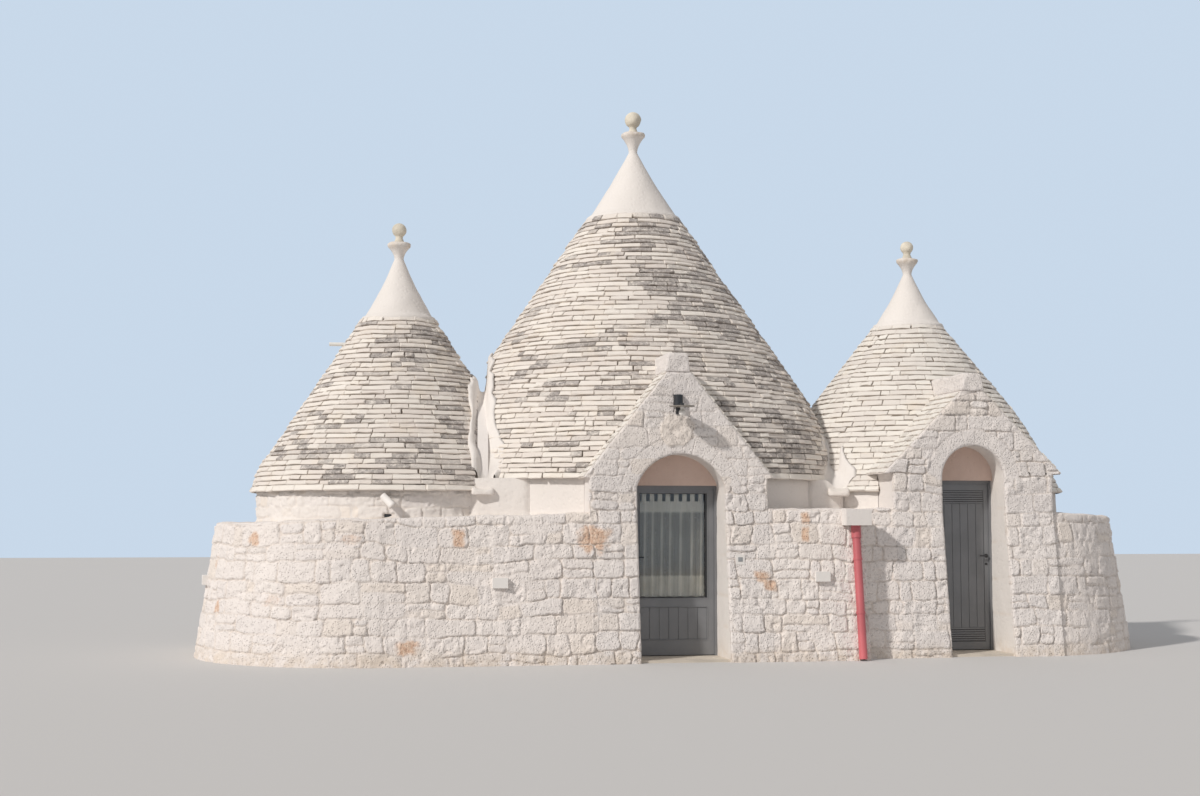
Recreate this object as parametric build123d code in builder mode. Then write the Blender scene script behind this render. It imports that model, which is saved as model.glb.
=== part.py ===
from build123d import *
import os
from math import cos, radians, sin

# Trullo house in millimetres. X runs to the right along the front, Y runs into the house and Z is up.
# The origin is on the axis of the main cone, at ground level.

# Front wall and the low battered base that goes round the three rooms
FACADE_Y = -2790
BASE_BATTER = 260
LEDGE_TOP = 1815
LEDGE_LEFT = 1640
LEDGE_RIGHT_END = 1720
STEP_X = 2300
STEP_DEPTH = 250
END_ROUND_LEFT = 1890
END_ROUND_RIGHT = 1750
LEFT_END_X = -5460
RIGHT_END_X = 6300
LEFT_BACK_Y = 1720
RIGHT_BACK_Y = 1650
BASE_CORE_Y = -700

# Each room: axis, wall radii, eave, roof curve and roof top
MAIN = dict(
    x=0, y=0, room=1850, drum=2640, eave=2715, eave_z=2200, shoulder=2280, shoulder_z=3370,
    brow=2580, brow_z=2830,
    cap=637, cap_z=5810, neck=60, neck_z=6770, rim=165, rim_z=7045, ball=115,
    vault_mid=1380, vault_mid_z=3720, vault_top=5300,
)
LEFT = dict(
    x=-3230, y=-250, room=920, drum=1790, eave=1870, eave_z=2050, shoulder=1650, shoulder_z=2534,
    brow=1812, brow_z=2280,
    cap=465, cap_z=4335, neck=60, neck_z=5150, rim=148, rim_z=5370, ball=98,
    vault_mid=560, vault_mid_z=3050, vault_top=3800,
)
RIGHT = dict(
    x=3840, y=-360, room=940, drum=1930, eave=2000, eave_z=2060, shoulder=1120, shoulder_z=3540,
    brow=1611, brow_z=2830,
    cap=458, cap_z=4370, neck=60, neck_z=5110, rim=145, rim_z=5330, ball=90,
    vault_mid=580, vault_mid_z=3050, vault_top=3850,
)
VAULT_CLOSING_R = 180
FINIAL_FOOT_R = 52
FINIAL_FOOT_H = 80
CAP_NECK_SHARE = 0.12
CUP_LIP = 52

# Plastered valleys between the roofs. The last two are each wall's share of the mass between the round spaces
LEFT_VALLEY = dict(angle=6, front=-2080, back=1650, crest=-540, crest_z=3370)
RIGHT_VALLEY = dict(angle=14, front=-1130, back=1650, crest=200, crest_z=2750)
LEFT_VALLEY_WALL = 0.34
RIGHT_VALLEY_WALL = 0.515
VALLEY_END_Z = 2080
VALLEY_FULLNESS = 0.8
VALLEY_REACH = 1500
SPOUT_W = 250
SPOUT_L = 170
SPOUT_H = 80

# Portals: the gabled porch wall round each entrance
MAIN_PORTAL = dict(
    x=10, half=1095, face=0, opening_x=35, opening=1100, spring=2084, rise=400, cornice=70,
    gable_z=2190, capstone_z=3466, back=-1980, setback=420, head=2105,
)
RIGHT_PORTAL = dict(
    x=3855, half=1055, face=STEP_DEPTH, opening_x=3855, opening=840, spring=2190, rise=440, cornice=120,
    gable_z=2267, capstone_z=3310, back=-1450, setback=420, head=2190,
)
EMBRASURE_WIDER = 80
LUNETTE_FORWARD = 60
CAPSTONE_W = 290
CAPSTONE_H = 215
CAPSTONE_PROUD = 30

# Opening between the main room and the left room, and the lines that divide the base into walls
LINK_Y = -200
LINK_W = 800
LINK_JAMB = 100
LINK_H = 1600
LINK_COVER = 150
BACK_SPLIT_X = 1300

# Floor
FLOOR_T = 30
FLOOR_GAP = 0.5
THRESHOLD_OUT = 200

# Doors
FRAME_SIDE = 22
FRAME_LIP = 35
LIP_T = 20
LIP_GAP = 5
LEAF_T = 45
LEAF_GAP = 7
LEAF_FLOOR_GAP = 10
STILE_W = 96
TOP_RAIL = 63
MID_RAIL_LOW = 626
MID_RAIL_HIGH = 732
PANEL_LOW = 224
PANEL_RECESS = 12
GLASS_T = 6
GLASS_GROOVE = 10
SEAT_GAP = 0.3
RIGHT_STILE_W = 70
RIGHT_RAIL_W = 95

# Curtain on the back of the main door
ROD_R = 5
ROD_OFF = 14
ROD_OVER_GLASS = 14
ROD_END = 18
ROD_POST_R = 4
CURTAIN_T = 20
CURTAIN_SIDE = 12
CURTAIN_FOOT = 12

# Door fittings
HINGE_R = 8
HINGE_OFF = 9
HINGE_H = 36
HINGE_PIN_R = 4
HINGE_PIN_H = 30
HINGE_BORE_GAP = 0.3
HINGE_PLATE_T = 3
HINGE_PLATE_W = 26
HINGE_COUNT = 3
HINGE_LOW_Z = 300
HINGE_SPACING = 750
HANDLE_Z = 1230
HANDLE_IN = 48
ROSE_R = 24
ROSE_T = 8
HANDLE_NECK_R = 9
HANDLE_REACH = 48
LEVER_L = 95
LEVER_T = 18
LOCK_DROP = 105
LOCK_R = 16

# Rainwater and small fittings on the walls
PIPE_X = 2190
PIPE_R = 50
PIPE_WALL = 4
PIPE_OFF = 20
PIPE_FOOT_Z = 20
HOPPER_W = 320
HOPPER_D = 230
HOPPER_H = 195
HOPPER_WALL = 12
HOPPER_NECK_R = 60
HOPPER_NECK_L = 190
HOPPER_SOCKET = 60
HOPPER_DROP = 80
BRACKET_LEVELS = (560, 1210)
BRACKET_H = 30
BRACKET_T = 6
WALL_LIGHT = (180, 90, 120)
WALL_LIGHT_SPOTS = ((-2170, 950), (1740, 1005))
END_LIGHT_ANGLE = 186
END_LIGHT_Z = 945
SPOT_SIZE = (170, 130, 130)
SPOT_Z = 1930
SPOT_ANGLE = -97
BELL_SIZE = (110, 34, 120)
BELL_X = 733
BELL_Z = 1210
LAMP_X = -10
LAMP_Z = 3030
LAMP_OUT = 280
SHADE_R = 152
SHADE_T = 8
HOLDER_R = 58
HOLDER_H = 150
HOLDER_TAIL = (50, 60, 80)
ARM_R = 11
BULB_R = 42
BULB_STEM_R = 24
BULB_STEM_H = 50
VENT_R = 25
VENT_L = 220
VENT_Z = 4000

# Values worked out from the sizes above
UP = Vector(0, 0, 1)
FAR = 20000
RIGHT_FACE_Y = FACADE_Y + STEP_DEPTH
FRAME_DEPTH = LIP_T + LIP_GAP + LEAF_T
LOW_ALIGN = (Align.CENTER, Align.CENTER, Align.MIN)
LINK_FRONT_Y = LINK_Y - LINK_W / 2 - LINK_JAMB
LINK_BACK_Y = LINK_Y + LINK_W / 2 + LINK_JAMB


def keep_block(x_range, y_range, z_range=(-FAR, FAR)):
    """Keep what lies inside the block between the given pairs of limits."""
    block(x_range, y_range, z_range, Mode.INTERSECT)


def block(x_range, y_range, z_range, mode=Mode.ADD):
    """A box between the given pairs of limits."""
    middle = [(low + high) / 2 for low, high in (x_range, y_range, z_range)]
    with Locations(tuple(middle)):
        Box(x_range[1] - x_range[0], y_range[1] - y_range[0], z_range[1] - z_range[0], mode=mode)


def upright(x, y, radius, z_range, mode=Mode.ADD):
    """A vertical cylinder between two levels."""
    with Locations((x, y, z_range[0])):
        Cylinder(radius, z_range[1] - z_range[0], align=LOW_ALIGN, mode=mode)


def rooms(z_range, mode=Mode.SUBTRACT):
    """The round spaces of the three rooms."""
    for room in (MAIN, LEFT, RIGHT):
        upright(room["x"], room["y"], room["room"], z_range, mode)


def battered_round(x, y, radius):
    """A round end of the base, wider at the ground."""
    with Locations((x, y, 0)):
        Cone(radius + BASE_BATTER, radius, LEDGE_TOP, align=LOW_ALIGN)


def battered_run(start, outward, length, depth):
    """A straight run of the base, with its face on the start point and leaning in towards the top."""
    outward = Vector(*outward)
    side = Plane(origin=start, x_dir=outward, z_dir=outward.cross(UP))
    with BuildSketch(side) as profile:
        with BuildLine():
            Polyline((-depth, 0), (BASE_BATTER, 0), (0, LEDGE_TOP), (-depth, LEDGE_TOP), close=True)
        make_face()
    extrude(profile.sketch, amount=length)


def arch_prism(portal, y_range, wider=0, mode=Mode.SUBTRACT):
    """The arched space of an entrance between two depths, from the ground to the crown."""
    half = portal["opening"] / 2 + wider
    x = portal["opening_x"]
    spring = portal["spring"]
    with BuildSketch(Plane.XZ.offset(-y_range[1])) as profile:
        with BuildLine():
            Polyline((x - half, spring), (x - half, -FLOOR_T), (x + half, -FLOOR_T), (x + half, spring))
            ThreePointArc((x + half, spring), (x, spring + portal["rise"] + wider), (x - half, spring))
        make_face()
    extrude(profile.sketch, amount=y_range[1] - y_range[0], mode=mode)


def door_face(portal):
    """The depth of the front of the door frame."""
    return FACADE_Y + portal["face"] + portal["setback"]


def entrance_space(portal):
    """Cut the arched entrance in front of the door and the wider space behind it."""
    frame_y = door_face(portal)
    arch_prism(portal, (-FAR, frame_y + FRAME_DEPTH))
    room = MAIN if portal is MAIN_PORTAL else RIGHT
    arch_prism(portal, (frame_y + FRAME_DEPTH, room["y"] - room["room"] / 2), EMBRASURE_WIDER)


def gable_body(portal, mode=Mode.ADD):
    """The gabled block of a portal above its springing line, without its arch."""
    x = portal["x"]
    half = portal["half"]
    wide = half + portal["cornice"]
    spring = portal["spring"]
    gable_z = portal["gable_z"]
    face_y = FACADE_Y + portal["face"]
    with BuildSketch(Plane.XZ.offset(-portal["back"])) as profile:
        with BuildLine():
            Polyline(
                (x - half, spring), (x + half, spring), (x + half, gable_z), (x + wide, gable_z),
                (x + CAPSTONE_W / 2, portal["capstone_z"]), (x - CAPSTONE_W / 2, portal["capstone_z"]),
                (x - wide, gable_z), (x - half, gable_z), close=True,
            )
        make_face()
    extrude(profile.sketch, amount=portal["back"] - face_y, mode=mode)


def capstone(portal, mode=Mode.ADD):
    """The long stone on the ridge of a portal."""
    x = portal["x"]
    block(
        (x - CAPSTONE_W / 2, x + CAPSTONE_W / 2),
        (FACADE_Y + portal["face"] - CAPSTONE_PROUD, portal["back"]),
        (portal["capstone_z"], portal["capstone_z"] + CAPSTONE_H), mode,
    )


def valley_plane(valley, distance):
    """A vertical plane along a channel, its normal pointing to the right, at a distance from the origin."""
    turn = radians(valley["angle"])
    normal = Vector(cos(turn), -sin(turn), 0)
    return Plane(origin=normal * distance, x_dir=(sin(turn), cos(turn), 0), z_dir=normal)


def across(valley, room):
    """How far a room's axis lies to the right, measured across a channel."""
    turn = radians(valley["angle"])
    return room["x"] * cos(turn) - room["y"] * sin(turn)


LEFT_MASS = (across(LEFT_VALLEY, LEFT) + LEFT["room"], across(LEFT_VALLEY, MAIN) - MAIN["room"])
LEFT_WALL_T = (LEFT_MASS[1] - LEFT_MASS[0]) * LEFT_VALLEY_WALL
LEFT_CHANNEL = (LEFT_MASS[0] + LEFT_WALL_T, LEFT_MASS[1] - LEFT_WALL_T)
RIGHT_MASS = (across(RIGHT_VALLEY, MAIN) + MAIN["drum"], across(RIGHT_VALLEY, RIGHT) - RIGHT["room"])
RIGHT_WALL_T = (RIGHT_MASS[1] - RIGHT_MASS[0]) * RIGHT_VALLEY_WALL
RIGHT_CHANNEL = (RIGHT_MASS[0], RIGHT_MASS[1] - RIGHT_WALL_T)


def valley_body(valley, low, high, mode=Mode.ADD):
    """The infill between two roofs, with its top rising from both ends to a crest."""
    ends = (valley["front"], valley["back"])
    crest = (valley["crest"], valley["crest_z"])
    high_z = VALLEY_END_Z + (crest[1] - VALLEY_END_Z) * VALLEY_FULLNESS
    with BuildSketch(valley_plane(valley, low)) as profile:
        with BuildLine():
            Spline(
                (ends[0], VALLEY_END_Z), ((ends[0] + crest[0]) / 2, high_z), crest,
                ((ends[1] + crest[0]) / 2, high_z), (ends[1], VALLEY_END_Z),
            )
            Polyline((ends[1], VALLEY_END_Z), (ends[1], 0), (ends[0], 0), (ends[0], VALLEY_END_Z))
        make_face()
    extrude(profile.sketch, amount=high - low, mode=mode)


def roof_plane(room):
    """The upright plane from a roof's axis to the back, with X as the radius and Y as the height."""
    return Plane(origin=(room["x"], room["y"], 0), x_dir=(0, 1, 0), z_dir=(1, 0, 0))


def roof_outline(room):
    """The outside of a roof from the edge of its cap to its eave, steeper below the shoulder."""
    shoulder = (room["shoulder"], room["shoulder_z"])
    Polyline((0, room["cap_z"]), (room["cap"], room["cap_z"]), shoulder)
    ThreePointArc(shoulder, (room["brow"], room["brow_z"]), (room["eave"], room["eave_z"]))


# The main roof and its round wall as one solid body, to cut the right roof to
with BuildPart() as main_envelope:
    with BuildSketch(roof_plane(MAIN)) as profile:
        with BuildLine():
            roof_outline(MAIN)
            Polyline(
                (MAIN["eave"], MAIN["eave_z"]), (MAIN["drum"], MAIN["eave_z"]), (MAIN["drum"], 0), (0, 0),
                (0, MAIN["cap_z"]),
            )
        make_face()
    revolve(profile.sketch, axis=Axis((MAIN["x"], MAIN["y"], 0), (0, 0, 1)))


def trim_to_valleys(room):
    """Keep the side of the channels on which a room stands."""
    if room is LEFT:
        split(bisect_by=valley_plane(LEFT_VALLEY, LEFT_CHANNEL[0]), keep=Keep.BOTTOM)
    if room is MAIN:
        split(bisect_by=valley_plane(LEFT_VALLEY, LEFT_CHANNEL[1]), keep=Keep.TOP)
        split(bisect_by=valley_plane(RIGHT_VALLEY, RIGHT_CHANNEL[0]), keep=Keep.BOTTOM)
    if room is RIGHT:
        valley_body(RIGHT_VALLEY, RIGHT_CHANNEL[1] - VALLEY_REACH, RIGHT_CHANNEL[1], Mode.SUBTRACT)
        add(main_envelope.part, mode=Mode.SUBTRACT)


def link_mass(mode=Mode.ADD):
    """The masonry round and over the opening between the main room and the left room."""
    block((LEFT["x"], MAIN["x"]), (LINK_FRONT_Y, LINK_BACK_Y), (0, LINK_H + LINK_COVER), mode)


# The base before it is divided into walls
END_LEFT_X = LEFT_END_X + END_ROUND_LEFT
END_RIGHT_X = RIGHT_END_X - END_ROUND_RIGHT
LEFT_FRONT_CENTRE_Y = FACADE_Y + END_ROUND_LEFT
LEFT_BACK_CENTRE_Y = LEFT_BACK_Y - END_ROUND_LEFT
RIGHT_FRONT_CENTRE_Y = RIGHT_FACE_Y + END_ROUND_RIGHT
RIGHT_BACK_CENTRE_Y = RIGHT_BACK_Y - END_ROUND_RIGHT

with BuildPart() as base_mass:
    battered_round(END_LEFT_X, LEFT_FRONT_CENTRE_Y, END_ROUND_LEFT)
    battered_round(END_LEFT_X, LEFT_BACK_CENTRE_Y, END_ROUND_LEFT)
    battered_round(END_RIGHT_X, RIGHT_FRONT_CENTRE_Y, END_ROUND_RIGHT)
    battered_round(END_RIGHT_X, RIGHT_BACK_CENTRE_Y, END_ROUND_RIGHT)
    battered_round(MAIN["x"], MAIN["y"], -FACADE_Y)
    battered_run((STEP_X, FACADE_Y, 0), (0, -1, 0), STEP_X - END_LEFT_X, BASE_CORE_Y - FACADE_Y)
    battered_run((END_RIGHT_X, RIGHT_FACE_Y, 0), (0, -1, 0), END_RIGHT_X - STEP_X, BASE_CORE_Y - RIGHT_FACE_Y)
    battered_run((END_LEFT_X, LEFT_BACK_Y, 0), (0, 1, 0), -END_LEFT_X, LEFT_BACK_Y - BASE_CORE_Y)
    battered_run((MAIN["x"], RIGHT_BACK_Y, 0), (0, 1, 0), END_RIGHT_X, RIGHT_BACK_Y - BASE_CORE_Y)
    battered_run(
        (LEFT_END_X, LEFT_FRONT_CENTRE_Y, 0), (-1, 0, 0), LEFT_BACK_CENTRE_Y - LEFT_FRONT_CENTRE_Y, END_ROUND_LEFT,
    )
    battered_run(
        (RIGHT_END_X, RIGHT_BACK_CENTRE_Y, 0), (1, 0, 0), RIGHT_BACK_CENTRE_Y - RIGHT_FRONT_CENTRE_Y, END_ROUND_RIGHT,
    )
    rooms((0, LEDGE_TOP))

# Everything above the ledge, whose top rises from the left end and falls a little at the right end
with BuildPart() as above_ledge:
    with BuildSketch(Plane.XZ.offset(-FAR / 2)):
        with BuildLine():
            Polyline(
                (-FAR, LEDGE_LEFT), (LEFT_END_X, LEDGE_LEFT), (MAIN_PORTAL["x"] + MAIN_PORTAL["half"], LEDGE_TOP),
                (RIGHT_PORTAL["x"], LEDGE_TOP), (RIGHT_END_X, LEDGE_RIGHT_END), (FAR, LEDGE_RIGHT_END),
                (FAR, FAR), (-FAR, FAR), close=True,
            )
        make_face()
    extrude(amount=FAR)

with BuildPart() as base:
    add(base_mass.part)
    add(above_ledge.part, mode=Mode.SUBTRACT)

PORTAL_LEFT_X = MAIN_PORTAL["x"] - MAIN_PORTAL["half"]
PORTAL_RIGHT_X = MAIN_PORTAL["x"] + MAIN_PORTAL["half"]
RIGHT_PORTAL_LEFT_X = RIGHT_PORTAL["x"] - RIGHT_PORTAL["half"]
RIGHT_PORTAL_RIGHT_X = RIGHT_PORTAL["x"] + RIGHT_PORTAL["half"]

# Walls of the base, from left to right and then round the back
with BuildPart() as left_end_wall_front:
    add(base.part)
    keep_block((-FAR, LEFT["x"]), (-FAR, LEFT["y"]))

with BuildPart() as left_end_wall_back:
    add(base.part)
    keep_block((-FAR, LEFT["x"]), (LEFT["y"], FAR))

with BuildPart() as front_wall_left:
    add(base.part)
    keep_block((LEFT["x"], PORTAL_LEFT_X), (-FAR, LINK_FRONT_Y))

with BuildPart() as room_arch:
    link_mass()
    rooms((0, LINK_H + LINK_COVER))
    link_half = LINK_W / 2
    with BuildSketch(Plane.YZ.offset(LEFT["x"])):
        with BuildLine():
            Polyline(
                (LINK_Y - link_half, LINK_H - link_half), (LINK_Y - link_half, -FLOOR_T),
                (LINK_Y + link_half, -FLOOR_T), (LINK_Y + link_half, LINK_H - link_half),
            )
            ThreePointArc(
                (LINK_Y + link_half, LINK_H - link_half), (LINK_Y, LINK_H),
                (LINK_Y - link_half, LINK_H - link_half),
            )
        make_face()
    extrude(amount=MAIN["x"] - LEFT["x"], mode=Mode.SUBTRACT)

with BuildPart() as back_wall_left:
    add(base.part)
    keep_block((LEFT["x"], MAIN["x"] - BACK_SPLIT_X), (LINK_BACK_Y, FAR))

with BuildPart() as main_back_wall_left:
    add(base.part)
    keep_block((MAIN["x"] - BACK_SPLIT_X, MAIN["x"]), (LINK_BACK_Y, FAR))

with BuildPart() as main_back_wall_right:
    add(base.part)
    keep_block((MAIN["x"], MAIN["x"] + BACK_SPLIT_X), (LINK_BACK_Y, FAR))

with BuildPart() as back_wall_right:
    add(base.part)
    keep_block((MAIN["x"] + BACK_SPLIT_X, RIGHT["x"]), (LINK_BACK_Y, FAR))

with BuildPart() as room_wall_right:
    add(base.part)
    keep_block((MAIN["x"], RIGHT["x"]), (LINK_FRONT_Y, LINK_BACK_Y))

with BuildPart() as front_wall_right:
    add(base.part)
    keep_block((PORTAL_RIGHT_X, STEP_X), (-FAR, LINK_FRONT_Y))

with BuildPart() as stepped_back_wall:
    add(base.part)
    keep_block((STEP_X, RIGHT_PORTAL_LEFT_X), (-FAR, LINK_FRONT_Y))

with BuildPart() as right_end_wall_front:
    add(base.part)
    keep_block((RIGHT_PORTAL_RIGHT_X, FAR), (-FAR, LINK_FRONT_Y))

with BuildPart() as right_end_wall_back:
    add(base.part)
    keep_block((RIGHT["x"], FAR), (LINK_FRONT_Y, FAR))

# Portals: the two piers beside each entrance, and the gable with the arch over it
with BuildPart() as main_portal_body:
    add(base_mass.part)
    keep_block((PORTAL_LEFT_X, PORTAL_RIGHT_X), (-FAR, LINK_FRONT_Y), (0, LEDGE_TOP))
    block((PORTAL_LEFT_X, PORTAL_RIGHT_X), (FACADE_Y, LINK_FRONT_Y), (LEDGE_TOP, MAIN_PORTAL["spring"]))
    rooms((0, MAIN_PORTAL["spring"]))
    entrance_space(MAIN_PORTAL)

with BuildPart() as main_left_pier:
    add(main_portal_body.part)
    keep_block((PORTAL_LEFT_X, MAIN_PORTAL["opening_x"]), (-FAR, FAR))

with BuildPart() as main_right_pier:
    add(main_portal_body.part)
    keep_block((MAIN_PORTAL["opening_x"], PORTAL_RIGHT_X), (-FAR, FAR))

with BuildPart() as right_portal_body:
    add(base_mass.part)
    keep_block((RIGHT_PORTAL_LEFT_X, RIGHT_PORTAL_RIGHT_X), (-FAR, LINK_FRONT_Y), (0, LEDGE_TOP))
    block(
        (RIGHT_PORTAL_LEFT_X, RIGHT_PORTAL_RIGHT_X), (RIGHT_FACE_Y, LINK_FRONT_Y),
        (LEDGE_TOP, RIGHT["eave_z"]),
    )
    rooms((0, RIGHT["eave_z"]))
    block(
        (RIGHT_PORTAL_LEFT_X, RIGHT_PORTAL_RIGHT_X), (RIGHT_FACE_Y, RIGHT_PORTAL["back"]),
        (RIGHT["eave_z"], RIGHT_PORTAL["spring"]),
    )
    entrance_space(RIGHT_PORTAL)

with BuildPart() as right_left_pier:
    add(right_portal_body.part)
    keep_block((RIGHT_PORTAL_LEFT_X, RIGHT_PORTAL["opening_x"]), (-FAR, FAR))

with BuildPart() as right_right_pier:
    add(right_portal_body.part)
    keep_block((RIGHT_PORTAL["opening_x"], RIGHT_PORTAL_RIGHT_X), (-FAR, FAR))

with BuildPart() as main_gable:
    gable_body(MAIN_PORTAL)
    block(
        (PORTAL_LEFT_X, PORTAL_RIGHT_X), (MAIN_PORTAL["back"], LINK_FRONT_Y),
        (MAIN_PORTAL["spring"], MAIN["eave_z"]),
    )
    rooms((MAIN_PORTAL["spring"], MAIN["eave_z"]))
    entrance_space(MAIN_PORTAL)

with BuildPart() as right_gable:
    gable_body(RIGHT_PORTAL)
    entrance_space(RIGHT_PORTAL)


with BuildPart() as portal_capstones:
    capstone(MAIN_PORTAL)
    capstone(RIGHT_PORTAL)

# Plaster infill of each arch over its door
def lunette(portal):
    """The infill between the door frame and the arch."""
    frame_y = door_face(portal)
    arch_prism(portal, (frame_y - LUNETTE_FORWARD, frame_y + FRAME_DEPTH), mode=Mode.ADD)
    keep_block((-FAR, FAR), (-FAR, FAR), (portal["head"], FAR))


with BuildPart() as right_lunette:
    lunette(RIGHT_PORTAL)

with BuildPart() as door_lunettes:
    lunette(MAIN_PORTAL)
    add(right_lunette.part)

# Round walls above the ledge
def round_wall(room):
    """The wall under a roof, from the ledge to the eave, without its entrance."""
    upright(room["x"], room["y"], room["drum"], (0, room["eave_z"]))
    rooms((0, room["eave_z"]))
    trim_to_valleys(room)
    add(above_ledge.part, mode=Mode.INTERSECT)
    link_mass(Mode.SUBTRACT)


with BuildPart() as main_round_wall:
    round_wall(MAIN)
    block((PORTAL_LEFT_X, PORTAL_RIGHT_X), (-FAR, LINK_FRONT_Y), (0, MAIN["eave_z"]), Mode.SUBTRACT)
    gable_body(MAIN_PORTAL, Mode.SUBTRACT)

with BuildPart() as main_drum_left:
    add(main_round_wall.part)
    keep_block((-FAR, MAIN["x"]), (-FAR, FAR))

with BuildPart() as main_drum_right:
    add(main_round_wall.part)
    keep_block((MAIN["x"], FAR), (-FAR, FAR))

with BuildPart() as left_round_wall:
    round_wall(LEFT)

with BuildPart() as left_drum_front:
    add(left_round_wall.part)
    keep_block((-FAR, FAR), (-FAR, LEFT["y"]))

with BuildPart() as left_drum_back:
    add(left_round_wall.part)
    keep_block((-FAR, FAR), (LEFT["y"], FAR))

with BuildPart() as right_drum:
    round_wall(RIGHT)
    block(
        (RIGHT_PORTAL_LEFT_X, RIGHT_PORTAL_RIGHT_X), (-FAR, LINK_FRONT_Y), (0, RIGHT["eave_z"]), Mode.SUBTRACT,
    )

# Roofs: corbelled stone cones, hollow inside
def roof_shell(room):
    """A stone cone with a pointed vault inside, closed by a flat stone at its top."""
    with BuildSketch(roof_plane(room)) as profile:
        with BuildLine():
            roof_outline(room)
            Line((room["eave"], room["eave_z"]), (room["room"], room["eave_z"]))
            ThreePointArc(
                (room["room"], room["eave_z"]), (room["vault_mid"], room["vault_mid_z"]),
                (VAULT_CLOSING_R, room["vault_top"]),
            )
            Polyline((VAULT_CLOSING_R, room["vault_top"]), (0, room["vault_top"]), (0, room["cap_z"]))
        make_face()
    revolve(profile.sketch, axis=Axis((room["x"], room["y"], 0), (0, 0, 1)))
    trim_to_valleys(room)


with BuildPart() as main_roof:
    roof_shell(MAIN)
    gable_body(MAIN_PORTAL, Mode.SUBTRACT)
    capstone(MAIN_PORTAL, Mode.SUBTRACT)
    entrance_space(MAIN_PORTAL)

with BuildPart() as main_cone_left:
    add(main_roof.part)
    keep_block((-FAR, MAIN["x"]), (-FAR, FAR), (0, MAIN["vault_mid_z"]))

with BuildPart() as main_cone_right:
    add(main_roof.part)
    keep_block((MAIN["x"], FAR), (-FAR, FAR), (0, MAIN["vault_mid_z"]))

with BuildPart() as main_cone_top:
    add(main_roof.part)
    keep_block((-FAR, FAR), (-FAR, FAR), (MAIN["vault_mid_z"], FAR))

with BuildPart() as left_cone:
    roof_shell(LEFT)

with BuildPart() as right_cone:
    roof_shell(RIGHT)
    gable_body(RIGHT_PORTAL, Mode.SUBTRACT)
    capstone(RIGHT_PORTAL, Mode.SUBTRACT)
    block(
        (RIGHT_PORTAL_LEFT_X, RIGHT_PORTAL_RIGHT_X), (-FAR, RIGHT_PORTAL["back"]),
        (0, RIGHT_PORTAL["spring"]), Mode.SUBTRACT,
    )
    entrance_space(RIGHT_PORTAL)

# Plastered valleys, each with a spout lip at the front
def spout(valley, channel):
    """The lip at the front end of a valley, where the rainwater runs off."""
    front = valley["front"]
    middle = (channel[0] + channel[1]) / 2
    with BuildSketch(valley_plane(valley, middle - SPOUT_W / 2)) as profile:
        with BuildLine():
            Polyline(
                (front, VALLEY_END_Z), (front - SPOUT_L, VALLEY_END_Z - SPOUT_H / 2),
                (front - SPOUT_L, VALLEY_END_Z - SPOUT_H), (front, VALLEY_END_Z - SPOUT_H), close=True,
            )
        make_face()
    extrude(profile.sketch, amount=SPOUT_W)


with BuildPart() as left_valley:
    valley_body(LEFT_VALLEY, *LEFT_CHANNEL)
    spout(LEFT_VALLEY, LEFT_CHANNEL)
    add(above_ledge.part, mode=Mode.INTERSECT)
    add(left_cone.part, mode=Mode.SUBTRACT)
    add(left_round_wall.part, mode=Mode.SUBTRACT)
    link_mass(Mode.SUBTRACT)

with BuildPart() as right_valley:
    valley_body(RIGHT_VALLEY, *RIGHT_CHANNEL)
    spout(RIGHT_VALLEY, RIGHT_CHANNEL)
    add(above_ledge.part, mode=Mode.INTERSECT)
    add(right_cone.part, mode=Mode.SUBTRACT)
    add(right_drum.part, mode=Mode.SUBTRACT)

# Roof tops: a smooth cap that flares into a cup, and a stone ball on a short foot
def roof_cap(room):
    """The plastered cap, its neck and its cup."""
    edge = (room["cap"], room["cap_z"])
    neck = (room["neck"], room["neck_z"])
    bend = (
        neck[0] + (edge[0] - neck[0]) * CAP_NECK_SHARE,
        neck[1] - (neck[1] - edge[1]) * CAP_NECK_SHARE,
    )
    rim_low = (room["rim"], room["rim_z"] - CUP_LIP)
    flare = (neck[0] + (rim_low[0] - neck[0]) * 0.3, (neck[1] + rim_low[1]) / 2)
    with BuildSketch(roof_plane(room)) as profile:
        with BuildLine():
            Polyline((0, edge[1]), edge, bend, neck)
            ThreePointArc(neck, flare, rim_low)
            Polyline(rim_low, (room["rim"], room["rim_z"]), (0, room["rim_z"]), (0, edge[1]))
        make_face()
    revolve(profile.sketch, axis=Axis((room["x"], room["y"], 0), (0, 0, 1)))


def finial(room):
    """The ball and its foot."""
    ball_z = room["rim_z"] + FINIAL_FOOT_H + room["ball"]
    upright(room["x"], room["y"], FINIAL_FOOT_R, (room["rim_z"], ball_z))
    with Locations((room["x"], room["y"], ball_z)):
        Sphere(room["ball"])


with BuildPart() as roof_caps:
    for room in (MAIN, LEFT, RIGHT):
        roof_cap(room)

with BuildPart() as finials:
    for room in (MAIN, LEFT, RIGHT):
        finial(room)

# Floor of the rooms, and the slab under each door
def inner_strip(portal, room):
    """The floor between a door and its room."""
    half = portal["opening"] / 2 + EMBRASURE_WIDER - FLOOR_GAP
    x = portal["opening_x"]
    block((x - half, x + half), (door_face(portal) + FRAME_DEPTH, room["y"]), (0, FLOOR_T))


with BuildPart() as floor:
    for room in (MAIN, LEFT, RIGHT):
        upright(room["x"], room["y"], room["room"] - FLOOR_GAP, (0, FLOOR_T))
    link_floor = LINK_W / 2 - FLOOR_GAP
    block((LEFT["x"], MAIN["x"]), (LINK_Y - link_floor, LINK_Y + link_floor), (0, FLOOR_T))
    inner_strip(MAIN_PORTAL, MAIN)
    inner_strip(RIGHT_PORTAL, RIGHT)

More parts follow.
